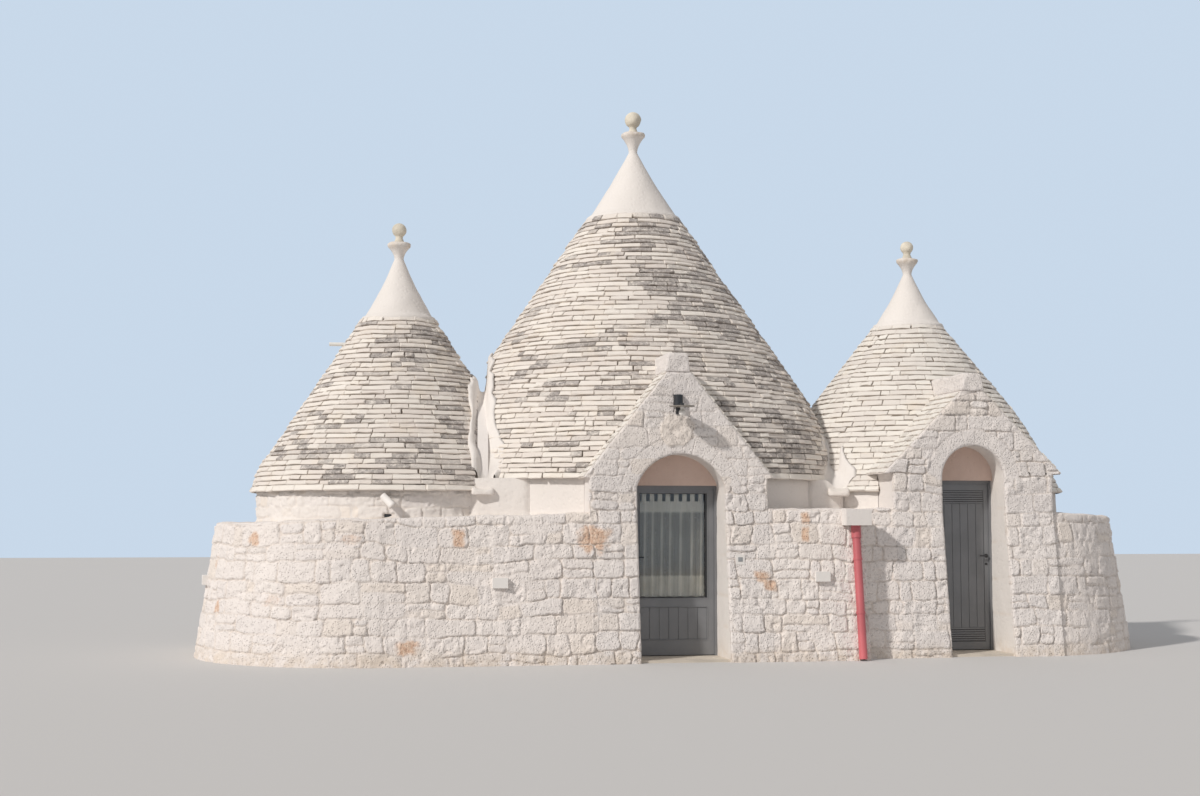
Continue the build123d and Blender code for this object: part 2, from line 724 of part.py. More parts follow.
with BuildPart() as thresholds:
    for portal in (MAIN_PORTAL, RIGHT_PORTAL):
        half = portal["opening"] / 2
        x = portal["opening_x"]
        front_y = FACADE_Y + portal["face"] - THRESHOLD_OUT
        block((x - half, x + half), (front_y, door_face(portal) + FRAME_DEPTH), (0, FLOOR_T))

# Doors
def door_frame(portal):
    """The fixed frame, with a lip in front of the leaf."""
    x = portal["opening_x"]
    half = portal["opening"] / 2
    front = door_face(portal)
    back = front + FRAME_DEPTH
    head = portal["head"]
    side = half - FRAME_SIDE
    lip = half - FRAME_LIP
    block((x - half, x + half), (front, back), (FLOOR_T, head))
    arch_prism(portal, (front, back), mode=Mode.INTERSECT)
    block((x - side, x + side), (front + LIP_T, back), (FLOOR_T, head - FRAME_SIDE), Mode.SUBTRACT)
    block((x - lip, x + lip), (front, back), (FLOOR_T, head - FRAME_LIP), Mode.SUBTRACT)


def leaf_size(portal):
    """Half width, front, back, foot and top of a leaf."""
    back = door_face(portal) + FRAME_DEPTH
    half = portal["opening"] / 2 - FRAME_SIDE - LEAF_GAP
    return half, back - LEAF_T, back, FLOOR_T + LEAF_FLOOR_GAP, portal["head"] - FRAME_SIDE - LEAF_GAP


def peg(x, y_range, z, radius):
    """A round bar that runs into the house between two depths."""
    with Locations(Location((x, (y_range[0] + y_range[1]) / 2, z), (90, 0, 0))):
        Cylinder(radius, y_range[1] - y_range[0])


def door_handle(portal, side):
    """A lever and a lock rose on each face of a leaf; side is -1 for a lock at the left."""
    half, front, back, foot, top = leaf_size(portal)
    x = portal["opening_x"] + side * (half - HANDLE_IN)
    lever = sorted((x + side * HANDLE_NECK_R, x - side * LEVER_L))
    for face, out in ((front, -1), (back, 1)):
        tip = face + out * (ROSE_T + HANDLE_REACH)
        peg(x, sorted((face, face + out * ROSE_T)), HANDLE_Z, ROSE_R)
        peg(x, sorted((face, tip)), HANDLE_Z, HANDLE_NECK_R)
        block(lever, sorted((tip, tip - out * LEVER_T)), (HANDLE_Z - LEVER_T / 2, HANDLE_Z + LEVER_T / 2))
        peg(x, sorted((face, face + out * ROSE_T)), HANDLE_Z - LOCK_DROP, LOCK_R)


def hinge_axis(portal, side):
    """Where the hinges turn; side is 1 for hinges at the right."""
    half, front, back, foot, top = leaf_size(portal)
    return portal["opening_x"] + side * (half + LEAF_GAP / 2), back + HINGE_OFF


HINGE_LEVELS = [HINGE_LOW_Z + number * HINGE_SPACING for number in range(HINGE_COUNT)]


def hinge_pins(portal, side):
    """The lower knuckles with their pins and plates, on the frame."""
    x, y = hinge_axis(portal, side)
    back = y - HINGE_OFF
    for level in HINGE_LEVELS:
        block(sorted((x, x + side * HINGE_PLATE_W)), (back, back + HINGE_PLATE_T), (level - HINGE_H, level))
        upright(x, y, HINGE_R, (level - HINGE_H, level))
        upright(x, y, HINGE_PIN_R, (level, level + HINGE_PIN_H))


def hinge_knuckles(portal, side):
    """The upper knuckles with their plates, on the leaf."""
    x, y = hinge_axis(portal, side)
    back = y - HINGE_OFF
    for level in HINGE_LEVELS:
        low = level + HINGE_BORE_GAP
        block(sorted((x, x - side * HINGE_PLATE_W)), (back, back + HINGE_PLATE_T), (low, low + HINGE_H))
        upright(x, y, HINGE_R, (low, low + HINGE_H))
        upright(x, y, HINGE_PIN_R + HINGE_BORE_GAP, (level, level + HINGE_PIN_H + HINGE_BORE_GAP), Mode.SUBTRACT)


MAIN_HANDLE_SIDE = -1
RIGHT_HANDLE_SIDE = 1

with BuildPart() as main_door_frame:
    door_frame(MAIN_PORTAL)

with BuildPart() as right_door_frame:
    door_frame(RIGHT_PORTAL)

LEAF_HALF, LEAF_FRONT, LEAF_BACK, LEAF_FOOT, LEAF_TOP = leaf_size(MAIN_PORTAL)
GLASS_HALF = LEAF_HALF - STILE_W
GLASS_TOP = LEAF_TOP - TOP_RAIL
GLASS_MIDDLE = (LEAF_FRONT + LEAF_BACK) / 2
DOOR_X = MAIN_PORTAL["opening_x"]

with BuildPart() as main_door_leaf:
    block((DOOR_X - LEAF_HALF, DOOR_X + LEAF_HALF), (LEAF_FRONT, LEAF_BACK), (LEAF_FOOT, LEAF_TOP))
    block(
        (DOOR_X - GLASS_HALF, DOOR_X + GLASS_HALF), (LEAF_FRONT, LEAF_BACK), (MID_RAIL_HIGH, GLASS_TOP),
        Mode.SUBTRACT,
    )
    block(
        (DOOR_X - GLASS_HALF - GLASS_GROOVE, DOOR_X + GLASS_HALF + GLASS_GROOVE),
        (GLASS_MIDDLE - GLASS_T / 2 - SEAT_GAP, GLASS_MIDDLE + GLASS_T / 2 + SEAT_GAP),
        (MID_RAIL_HIGH - GLASS_GROOVE, GLASS_TOP + GLASS_GROOVE), Mode.SUBTRACT,
    )
    for face, inner in ((LEAF_FRONT, LEAF_FRONT + PANEL_RECESS), (LEAF_BACK - PANEL_RECESS, LEAF_BACK)):
        block((DOOR_X - GLASS_HALF, DOOR_X + GLASS_HALF), (face, inner), (PANEL_LOW, MID_RAIL_LOW), Mode.SUBTRACT)

with BuildPart() as main_door_glass:
    edge = GLASS_GROOVE - SEAT_GAP
    block(
        (DOOR_X - GLASS_HALF - edge, DOOR_X + GLASS_HALF + edge),
        (GLASS_MIDDLE - GLASS_T / 2, GLASS_MIDDLE + GLASS_T / 2),
        (MID_RAIL_HIGH - edge, GLASS_TOP + edge),
    )

ROD_Y = LEAF_BACK + ROD_OFF
ROD_Z = GLASS_TOP + ROD_OVER_GLASS

with BuildPart() as curtain_rod:
    rod_half = GLASS_HALF + ROD_END
    with Locations(Location((DOOR_X, ROD_Y, ROD_Z), (0, 90, 0))):
        Cylinder(ROD_R, 2 * rod_half)
    for x in (DOOR_X - rod_half + ROD_R, DOOR_X + rod_half - ROD_R):
        peg(x, (LEAF_BACK, ROD_Y), ROD_Z, ROD_POST_R)

with BuildPart() as main_door_curtain:
    block(
        (DOOR_X - GLASS_HALF + CURTAIN_SIDE, DOOR_X + GLASS_HALF - CURTAIN_SIDE),
        (ROD_Y - CURTAIN_T / 2, ROD_Y + CURTAIN_T / 2),
        (MID_RAIL_HIGH + CURTAIN_FOOT, ROD_Z - ROD_R - SEAT_GAP),
    )

RIGHT_HALF, RIGHT_FRONT, RIGHT_BACK, RIGHT_FOOT, RIGHT_TOP = leaf_size(RIGHT_PORTAL)

with BuildPart() as right_door_leaf:
    x = RIGHT_PORTAL["opening_x"]
    panel_half = RIGHT_HALF - RIGHT_STILE_W
    block((x - RIGHT_HALF, x + RIGHT_HALF), (RIGHT_FRONT, RIGHT_BACK), (RIGHT_FOOT, RIGHT_TOP))
    for face, inner in ((RIGHT_FRONT, RIGHT_FRONT + PANEL_RECESS), (RIGHT_BACK - PANEL_RECESS, RIGHT_BACK)):
        block(
            (x - panel_half, x + panel_half), (face, inner),
            (RIGHT_FOOT + RIGHT_RAIL_W, RIGHT_TOP - RIGHT_RAIL_W), Mode.SUBTRACT,
        )

with BuildPart() as main_door_handle:
    door_handle(MAIN_PORTAL, MAIN_HANDLE_SIDE)

with BuildPart() as right_door_handle:
    door_handle(RIGHT_PORTAL, RIGHT_HANDLE_SIDE)

with BuildPart() as door_hinge_pins:
    hinge_pins(MAIN_PORTAL, -MAIN_HANDLE_SIDE)
    hinge_pins(RIGHT_PORTAL, -RIGHT_HANDLE_SIDE)

with BuildPart() as main_hinge_knuckles:
    hinge_knuckles(MAIN_PORTAL, -MAIN_HANDLE_SIDE)

with BuildPart() as right_hinge_knuckles:
    hinge_knuckles(RIGHT_PORTAL, -RIGHT_HANDLE_SIDE)

# Rainwater: a hopper box on the front wall and a pipe that follows the batter to the ground
def face_at(z):
    """The depth of the battered front at a height."""
    return FACADE_Y - BASE_BATTER * (1 - z / LEDGE_TOP)


PIPE_LINE = Plane(
    origin=(PIPE_X, face_at(0) - PIPE_OFF - PIPE_R, 0), x_dir=(1, 0, 0), z_dir=(0, BASE_BATTER, LEDGE_TOP),
)
HOPPER_LOW = LEDGE_TOP - HOPPER_H
PIPE_TOP_Z = HOPPER_LOW - HOPPER_DROP

with BuildPart(PIPE_LINE.offset(PIPE_FOOT_Z)) as downpipe:
    Cylinder(PIPE_R, PIPE_TOP_Z - PIPE_FOOT_Z, align=LOW_ALIGN)
    Cylinder(PIPE_R - PIPE_WALL, PIPE_TOP_Z - PIPE_FOOT_Z, align=LOW_ALIGN, mode=Mode.SUBTRACT)

with BuildPart() as hopper:
    hopper_y = FACADE_Y - HOPPER_D
    block((PIPE_X - HOPPER_W / 2, PIPE_X + HOPPER_W / 2), (hopper_y, FACADE_Y), (HOPPER_LOW, LEDGE_TOP))
    block(
        (PIPE_X - HOPPER_W / 2 + HOPPER_WALL, PIPE_X + HOPPER_W / 2 - HOPPER_WALL),
        (hopper_y + HOPPER_WALL, face_at(HOPPER_LOW) - HOPPER_WALL),
        (HOPPER_LOW + HOPPER_WALL, LEDGE_TOP), Mode.SUBTRACT,
    )
    with BuildSketch(PIPE_LINE.offset(PIPE_TOP_Z)) as drain:
        Circle(PIPE_R - PIPE_WALL)
    extrude(drain.sketch, amount=HOPPER_NECK_L, mode=Mode.SUBTRACT)
    add(base_mass.part, mode=Mode.SUBTRACT)

with BuildPart() as hopper_neck:
    with BuildSketch(PIPE_LINE.offset(PIPE_TOP_Z - HOPPER_SOCKET)) as neck:
        Circle(HOPPER_NECK_R)
    extrude(neck.sketch, amount=HOPPER_NECK_L)
    with BuildSketch(PIPE_LINE.offset(PIPE_TOP_Z - HOPPER_SOCKET)) as socket:
        Circle(PIPE_R + SEAT_GAP)
    extrude(socket.sketch, amount=HOPPER_SOCKET, mode=Mode.SUBTRACT)
    with BuildSketch(PIPE_LINE.offset(PIPE_TOP_Z)) as bore:
        Circle(PIPE_R - PIPE_WALL)
    extrude(bore.sketch, amount=HOPPER_NECK_L, mode=Mode.SUBTRACT)
    split(bisect_by=Plane.XY.offset(HOPPER_LOW), keep=Keep.BOTTOM)
    add(base_mass.part, mode=Mode.SUBTRACT)

with BuildPart() as pipe_brackets:
    for level in BRACKET_LEVELS:
        with BuildSketch(PIPE_LINE.offset(level)) as ring:
            Circle(PIPE_R + BRACKET_T)
            with Locations((0, (PIPE_R + PIPE_OFF) / 2)):
                Rectangle(BRACKET_T * 4, PIPE_R + PIPE_OFF)
            Circle(PIPE_R + SEAT_GAP, mode=Mode.SUBTRACT)
        extrude(ring.sketch, amount=BRACKET_H)
    add(base_mass.part, mode=Mode.SUBTRACT)

# Lights, door bell and vent
with BuildPart() as wall_lights:
    for x, z in WALL_LIGHT_SPOTS:
        block(
            (x - WALL_LIGHT[0] / 2, x + WALL_LIGHT[0] / 2), (face_at(z) - WALL_LIGHT[1], FACADE_Y),
            (z - WALL_LIGHT[2] / 2, z + WALL_LIGHT[2] / 2),
        )
    with Locations(Location((END_LEFT_X, LEFT_FRONT_CENTRE_Y, END_LIGHT_Z), (0, 0, END_LIGHT_ANGLE))):
        with Locations((END_ROUND_LEFT + BASE_BATTER * (1 - END_LIGHT_Z / LEDGE_TOP), 0, 0)):
            Box(WALL_LIGHT[1] * 2, WALL_LIGHT[0], WALL_LIGHT[2])
    add(base_mass.part, mode=Mode.SUBTRACT)

with BuildPart() as spotlight:
    with Locations(Location((LEFT["x"], LEFT["y"], SPOT_Z), (0, 0, SPOT_ANGLE))):
        with Locations((LEFT["drum"] + SPOT_SIZE[1] / 2, 0, 0)):
            Box(SPOT_SIZE[1] * 2, SPOT_SIZE[0], SPOT_SIZE[2])
    upright(LEFT["x"], LEFT["y"], LEFT["drum"], (0, LEFT["eave_z"]), Mode.SUBTRACT)

with BuildPart() as door_bell:
    block(
        (BELL_X - BELL_SIZE[0] / 2, BELL_X + BELL_SIZE[0] / 2), (face_at(BELL_Z) - BELL_SIZE[1], FACADE_Y),
        (BELL_Z - BELL_SIZE[2] / 2, BELL_Z + BELL_SIZE[2] / 2),
    )
    add(base_mass.part, mode=Mode.SUBTRACT)

SHADE_Y = FACADE_Y - LAMP_OUT
HOLDER_LOW = LAMP_Z + SHADE_T

with BuildPart() as entrance_lamp:
    upright(LAMP_X, FACADE_Y - HOLDER_R, HOLDER_R, (HOLDER_LOW, HOLDER_LOW + HOLDER_H))
    block(
        (LAMP_X - HOLDER_TAIL[0] / 2, LAMP_X + HOLDER_TAIL[0] / 2), (FACADE_Y - HOLDER_TAIL[1], FACADE_Y),
        (HOLDER_LOW - HOLDER_TAIL[2], HOLDER_LOW + HOLDER_H),
    )
    peg(LAMP_X, (SHADE_Y, FACADE_Y), HOLDER_LOW + 2 * ARM_R, ARM_R)
    upright(LAMP_X, SHADE_Y, 2 * ARM_R, (HOLDER_LOW, HOLDER_LOW + 3 * ARM_R))

with BuildPart() as lamp_shade:
    upright(LAMP_X, SHADE_Y, SHADE_R, (LAMP_Z, HOLDER_LOW))

with BuildPart() as lamp_bulb:
    upright(LAMP_X, SHADE_Y, BULB_STEM_R, (LAMP_Z - BULB_STEM_H, LAMP_Z))
    with Locations((LAMP_X, SHADE_Y, LAMP_Z - BULB_STEM_H - BULB_R / 2)):
        Sphere(BULB_R)

LEFT_ROOF_SLOPE = (LEFT["shoulder"] - LEFT["cap"]) / (LEFT["cap_z"] - LEFT["shoulder_z"])
VENT_REACH = LEFT["cap"] + (LEFT["cap_z"] - VENT_Z) * LEFT_ROOF_SLOPE + VENT_L

with BuildPart() as roof_vent:
    with Locations(Location((LEFT["x"] - VENT_REACH / 2, LEFT["y"], VENT_Z), (0, 90, 0))):
        Cylinder(VENT_R, VENT_REACH)
    add(left_cone.part, mode=Mode.SUBTRACT)

# Export
os.makedirs("parts", exist_ok=True)
NODES = dict(
    left_end_wall_front=left_end_wall_front, left_end_wall_back=left_end_wall_back,
    front_wall_left=front_wall_left, room_arch=room_arch, back_wall_left=back_wall_left,
    main_back_wall_left=main_back_wall_left, main_back_wall_right=main_back_wall_right,
    back_wall_right=back_wall_right, room_wall_right=room_wall_right, front_wall_right=front_wall_right,
    stepped_back_wall=stepped_back_wall, right_end_wall_front=right_end_wall_front,
    right_end_wall_back=right_end_wall_back,
    main_left_pier=main_left_pier, main_right_pier=main_right_pier,
    right_left_pier=right_left_pier, right_right_pier=right_right_pier,
    main_gable=main_gable, right_gable=right_gable, portal_capstones=portal_capstones,
    door_lunettes=door_lunettes,
    main_drum_left=main_drum_left, main_drum_right=main_drum_right, left_drum_front=left_drum_front,
    left_drum_back=left_drum_back, right_drum=right_drum,
    main_cone_left=main_cone_left, main_cone_right=main_cone_right, main_cone_top=main_cone_top,
    left_cone=left_cone, right_cone=right_cone,
    left_valley=left_valley, right_valley=right_valley, roof_caps=roof_caps, finials=finials,
    floor=floor, thresholds=thresholds,
    main_door_frame=main_door_frame, main_door_leaf=main_door_leaf, main_door_glass=main_door_glass,
    curtain_rod=curtain_rod, main_door_curtain=main_door_curtain, main_door_handle=main_door_handle,
    main_hinge_knuckles=main_hinge_knuckles, door_hinge_pins=door_hinge_pins,
    right_door_frame=right_door_frame, right_door_leaf=right_door_leaf, right_door_handle=right_door_handle,
    right_hinge_knuckles=right_hinge_knuckles,
    downpipe=downpipe, pipe_brackets=pipe_brackets, hopper=hopper, hopper_neck=hopper_neck,
    wall_lights=wall_lights, spotlight=spotlight, door_bell=door_bell,
    entrance_lamp=entrance_lamp, lamp_shade=lamp_shade, lamp_bulb=lamp_bulb, roof_vent=roof_vent,
)
for name, node in NODES.items():
    node.part.label = name
    export_step(node.part, "parts/" + name + ".step")
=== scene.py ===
import math
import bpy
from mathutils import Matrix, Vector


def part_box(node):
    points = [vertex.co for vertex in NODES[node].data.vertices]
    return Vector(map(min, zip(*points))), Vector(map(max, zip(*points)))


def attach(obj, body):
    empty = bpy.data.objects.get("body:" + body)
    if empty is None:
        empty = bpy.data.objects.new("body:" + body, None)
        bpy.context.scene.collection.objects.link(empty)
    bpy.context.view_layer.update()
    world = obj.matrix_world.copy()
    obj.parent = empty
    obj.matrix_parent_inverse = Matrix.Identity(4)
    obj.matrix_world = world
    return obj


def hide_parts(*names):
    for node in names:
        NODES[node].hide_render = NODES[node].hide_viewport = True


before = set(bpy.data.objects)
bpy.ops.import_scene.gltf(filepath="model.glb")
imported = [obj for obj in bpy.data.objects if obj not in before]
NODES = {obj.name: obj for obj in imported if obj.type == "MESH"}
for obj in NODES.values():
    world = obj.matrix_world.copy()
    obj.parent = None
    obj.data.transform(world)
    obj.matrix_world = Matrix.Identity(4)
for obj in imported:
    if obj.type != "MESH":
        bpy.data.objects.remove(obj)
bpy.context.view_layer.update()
from types import SimpleNamespace as Sizes
import bmesh
import bpy
import numpy as np
from mathutils import Vector

# Trullo house in metres: X to the right along the front, Y into the house, Z up
PI = math.pi

# Sizes shared with the solids
FACADE_Y, SET_BACK_Y = -2.79, -2.54
BACK_Y, RIGHT_BACK_Y = 1.72, 1.65
LEFT_X, RIGHT_X = -5.46, 6.30
BATTER = 0.26
LEDGE = 1.815
PORTAL_LEFT, PORTAL_RIGHT, STEP_X, RIGHT_PORTAL_LEFT = -1.085, 1.105, 2.30, 2.80
LEFT_END_X, LEFT_END_R, LEFT_END_FRONT, LEFT_END_BACK = -3.57, 1.89, -0.90, -0.17
RIGHT_END_X, RIGHT_END_R, RIGHT_END_FRONT, RIGHT_END_BACK = 4.55, 1.75, -0.79, -0.10

# A room's axis, the radius of its wall, its eave, its straight cone as radius and height at the top and at
# the foot, and a point of the brow between that foot and the eave
MAIN = Sizes(x=0, y=0, drum=2.64, eave=2.715, eave_z=2.2, line=(0.637, 5.81, 2.28, 3.37), brow=(2.58, 2.83))
LEFT = Sizes(x=-3.23, y=-0.25, drum=1.79, eave=1.87, eave_z=2.05, line=(0.465, 4.335, 1.65, 2.534),
             brow=(1.812, 2.28))
RIGHT = Sizes(x=3.84, y=-0.36, drum=1.93, eave=2.0, eave_z=2.06, line=(0.458, 4.37, 1.12, 3.54),
              brow=(1.611, 2.83))

# A valley's turn to the right of straight back, its left and right edges, its front end, crest and back end
# along its length, and the height of its crest
LEFT_VALLEY = Sizes(turn=math.radians(6), low=-2.1247, high=-1.9915, front=-2.08, crest=-0.54, back=1.65,
                    top=3.37)
RIGHT_VALLEY = Sizes(turn=math.radians(14), low=2.64, high=2.753, front=-1.13, crest=0.2, back=1.65,
                     top=2.75)
VALLEY_FOOT = 2.08

# A gate's room, middle, half width and face, the middle, half width, spring and rise of its opening,
# the half width and height of its gable's foot, the height of its top, and its back
MAIN_GATE = Sizes(room=MAIN, x=0.01, half=1.095, face=FACADE_Y, open_x=0.035, open=0.55, spring=2.084,
                  rise=0.4, wide=1.165, gable_z=2.19, top_z=3.466, back=-1.98)
RIGHT_GATE = Sizes(room=RIGHT, x=3.855, half=1.055, face=SET_BACK_Y, open_x=3.855, open=0.42, spring=2.19,
                   rise=0.44, wide=1.175, gable_z=2.267, top_z=3.31, back=-1.45)
CAPSTONE_HALF = 0.145


# Noise in three dimensions, the same on every run
def lattice(ix, iy, iz, seed):
    h = (ix * 374761393 + iy * 668265263 + iz * 1274126177 + seed * 974634777) & 0xFFFFFFFF
    h = ((h ^ (h >> 13)) * 1274126177) & 0xFFFFFFFF
    h = ((h ^ (h >> 16)) * 2246822519) & 0xFFFFFFFF
    return ((h ^ (h >> 15)) & 0xFFFFFF) / float(0xFFFFFF)


def noise(points, size, seed):
    """Smooth noise from -1 to 1; points is an array of (..., 3), size the distance between its hills."""
    p = np.asarray(points, float) / size
    cell = np.floor(p).astype(np.int64)
    f = p - cell
    f = f * f * (3 - 2 * f)
    out = 0
    for corner in np.ndindex(2, 2, 2):
        w = [f[..., k] if corner[k] else 1 - f[..., k] for k in range(3)]
        out = out + w[0] * w[1] * w[2] * lattice(*(cell[..., k] + corner[k] for k in range(3)), seed)
    return out * 2 - 1


def hills(points, size, seed, octaves=3):
    return sum(noise(points, size / 2 ** k, seed + k) / 2 ** k for k in range(octaves))


def stack(*parts):
    return np.stack(parts, -1)


def flat_points(s, z):
    return stack(s, z, np.zeros_like(s))


def step(low, high, value):
    t = np.clip((value - low) / (high - low), 0, 1)
    return t * t * (3 - 2 * t)


# Materials
class Tree:
    """The nodes of a material or of the sky. A socket takes a plain value or another node's output."""

    def __init__(self, tree):
        self.tree = tree

    def put(self, node, sockets):
        for key, value in sockets.items():
            socket = node.inputs[key]
            if isinstance(value, bpy.types.NodeSocket):
                self.tree.links.new(value, socket)
            else:
                socket.default_value = (*value, 1) if socket.type == "RGBA" else value

    def add(self, kind, sockets=None, **settings):
        """A new node; the answer is its outputs."""
        node = self.tree.nodes.new("ShaderNode" + kind)
        for key, value in settings.items():
            setattr(node, key, value)
        self.put(node, sockets or {})
        return node.outputs

    def noise(self, scale, detail=4.0, rough=0.55, stretch=None):
        """Noise over the object's own coordinates; stretch scales X, Y and Z."""
        place = self.add("TexCoord")["Object"]
        if stretch:
            place = self.add("Mapping", {"Vector": place, "Scale": stretch})["Vector"]
        sockets = {"Vector": place, "Scale": scale, "Detail": detail, "Roughness": rough}
        return self.add("TexNoise", sockets)["Fac"]

    def cells(self, scale):
        """Distance from the middle of the nearest cell."""
        return self.add("TexVoronoi", {"Vector": self.add("TexCoord")["Object"], "Scale": scale})["Distance"]

    def ramp(self, value, low, high):
        """0 at low and 1 at high, smooth between."""
        sockets = {"Value": value, "From Min": low, "From Max": high}
        return self.add("MapRange", sockets, interpolation_type="SMOOTHSTEP")["Result"]

    def math(self, operation, a, b):
        return self.add("Math", {0: a, 1: b}, operation=operation)[0]

    def mix(self, share, first, second):
        return self.add("Mix", {0: share, 6: first, 7: second}, data_type="RGBA")[2]

    def tint(self, colour, share, amount, other):
        return self.mix(self.math("MULTIPLY", share, amount), colour, other)

    def attribute(self, name):
        return self.add("Attribute", attribute_name=name)["Fac"]


class Look(Tree):
    """A material around the standard shader."""

    def __init__(self, name, base, rough, metal=0.0):
        self.mat = bpy.data.materials.new(name)
        self.mat.use_nodes = True
        super().__init__(self.mat.node_tree)
        self.shader = self.tree.nodes["Principled BSDF"]
        self.put(self.shader, {"Base Color": base, "Roughness": rough, "Metallic": metal})

    def finish(self, sockets, height, strength, distance):
        """Give the shader its last values and its relief."""
        bump = self.add("Bump", {"Height": height, "Strength": strength, "Distance": distance})
        self.put(self.shader, {**sockets, "Normal": bump["Normal"]})
        return self.mat


def limewash(name, base, shade, pits, relief):
    """Limewash: a soft cloudy tone, cream joints, bare ochre stone in places, and a pitted face."""
    m = Look(name, base, 0.9)
    colour = m.mix(m.ramp(m.noise(1.3, 5.0), 0.35, 0.7), shade, base)
    fine = m.noise(34.0, 6.0, 0.7)
    colour = m.tint(colour, m.ramp(fine, 0.56, 0.70), 0.20, (0.60, 0.56, 0.51))
    tone = m.attribute("tone")
    colour = m.tint(colour, m.ramp(tone, 0.72, 1.0), 0.30, (0.82, 0.70, 0.57))
    colour = m.tint(colour, m.ramp(tone, 0.30, 0.0), 0.30, (0.76, 0.72, 0.71))
    colour = m.tint(colour, m.attribute("rim"), 0.50, (0.74, 0.65, 0.57))
    # Tinted tan by this attribute: dirt at the foot of the walls and on the cups, and painted shade in a band
    # under the eaves of the round walls
    dirt = m.math("MULTIPLY", m.attribute("dirt"), m.ramp(m.noise(6.0, 6.0, 0.7), 0.35, 0.6))
    colour = m.tint(colour, dirt, 0.55, (0.62, 0.50, 0.37))
    ragged = m.math("SUBTRACT", m.math("MULTIPLY", m.noise(15.0, 6.0, 0.7), 0.9), 0.45)
    bare = m.ramp(m.math("ADD", m.attribute("bare"), ragged), 0.30, 0.95)
    ochre = m.mix(m.ramp(fine, 0.38, 0.60), (0.82, 0.60, 0.44), (0.63, 0.36, 0.21))
    colour = m.tint(colour, bare, 0.78, ochre)
    grain = m.math("MULTIPLY", m.noise(pits * 0.8, 6.0, 0.72, (1.4, 1.4, 0.7)), 1.3)
    height = m.math("ADD", grain, m.ramp(m.cells(pits), 0.0, 0.45))
    return m.finish({"Base Color": colour}, height, relief, 0.012)


def roof_stone(name, base, lichen_colour, amount):
    """Limestone slabs: cream to white, some slabs grown over with grey lichen, and painted shade in dark
    brown where they meet.
    """
    m = Look(name, base, 0.92)
    pale = tuple(min(0.89, 1.05 * c) for c in base)
    colour = m.mix(m.attribute("tone"), tuple(0.90 * c for c in base), pale)
    colour = m.tint(colour, m.ramp(m.noise(3.1), 0.5, 0.75), 0.30, (0.84, 0.73, 0.58))
    spots = m.ramp(m.noise(14.0, 6.0, 0.75, (1, 1, 1.5)), 0.30, 0.56)
    dark = tuple(0.4 * c for c in lichen_colour)
    deep = m.mix(m.ramp(m.noise(34.0, 5.0, 0.7), 0.50, 0.64), lichen_colour, dark)
    colour = m.tint(colour, m.math("MULTIPLY", m.attribute("lichen"), spots), amount, deep)
    stray = m.ramp(m.noise(11.0, 7.0, 0.85, (1, 1, 2.2)), 0.60, 0.70)
    colour = m.tint(colour, stray, 0.55 * amount, tuple(0.8 * c for c in lichen_colour))
    # Painted shade: the rim attribute darkens each slab's top, tucked under the course above, and its sides
    # down in the joints
    rim = m.math("MULTIPLY", m.attribute("rim"), m.ramp(m.noise(9.0, 5.0, 0.7), 0.25, 0.6))
    colour = m.tint(colour, rim, 0.62, (0.40, 0.32, 0.26))
    return m.finish({"Base Color": colour}, m.noise(38.0, 6.0, 0.75), 0.75, 0.016)


def plain(name, base, rough, grain, variation, metal=0.0, depth=0.002, strength=0.3):
    """A finish with slight changes of tone and a fine surface grain."""
    m = Look(name, base, rough, metal)
    dark, pale = (tuple(min(1, c * (1 + k * variation)) for c in base) for k in (-1, 1))
    colour = m.mix(m.ramp(m.noise(grain * 0.2), 0.3, 0.7), dark, pale)
    gloss = {"Value": m.noise(grain, 3.0), "To Min": max(0.05, rough - 0.12), "To Max": min(1, rough + 0.12)}
    sockets = {"Base Color": colour, "Roughness": m.add("MapRange", gloss)["Result"]}
    return m.finish(sockets, m.noise(grain, 5.0), strength, depth)


WALL = limewash("wall_limewash", (0.90, 0.84, 0.80), (0.86, 0.80, 0.765), 34.0, 0.88)
PORTAL = limewash("portal_limewash", (0.89, 0.835, 0.80), (0.85, 0.80, 0.775), 42.0, 1.0)
PLASTER = limewash("smooth_plaster", (0.82, 0.78, 0.745), (0.785, 0.745, 0.71), 16.0, 0.25)
# The lunette plaster is a stained pink brown, darkened further as painted shade of the recess under the arch
LUNETTE = limewash("stained_plaster_painted_shade", (0.68, 0.46, 0.36), (0.54, 0.34, 0.25), 20.0, 0.3)
ROOF = roof_stone("roof_slabs", (0.87, 0.80, 0.74), (0.40, 0.365, 0.345), 0.95)
WHITE_ROOF = roof_stone("whitewashed_slabs", (0.87, 0.815, 0.76), (0.42, 0.38, 0.35), 0.4)
# Painted shade: the roof bodies under the slabs are a near black brown, standing in for the shade in the gaps
# between slabs and under the eaves
GAP = plain("painted_gap_shade", (0.20, 0.165, 0.135), 0.95, 20.0, 0.2)
FINIAL = plain("finial_stone", (0.70, 0.65, 0.55), 0.9, 30.0, 0.16, depth=0.01, strength=0.6)
SLAB = plain("floor_slab", (0.62, 0.56, 0.48), 0.8, 8.0, 0.12, depth=0.004)
GREY_PAINT = plain("grey_door_paint", (0.20, 0.205, 0.215), 0.42, 18.0, 0.06, depth=0.001)
BLACK = plain("black_metal", (0.025, 0.025, 0.027), 0.4, 30.0, 0.15)
STEEL = plain("dull_steel", (0.42, 0.42, 0.42), 0.35, 40.0, 0.08, metal=1.0)
WHITE_PLASTIC = plain("white_plastic", (0.83, 0.80, 0.77), 0.6, 12.0, 0.03)
GREY_PLASTIC = plain("grey_plastic", (0.30, 0.31, 0.32), 0.5, 15.0, 0.05)
RED_PIPE = plain("faded_red_paint", (0.56, 0.135, 0.15), 0.45, 6.0, 0.16)
PIPE_WHITE = plain("weathered_pipe", (0.80, 0.79, 0.76), 0.6, 20.0, 0.08)
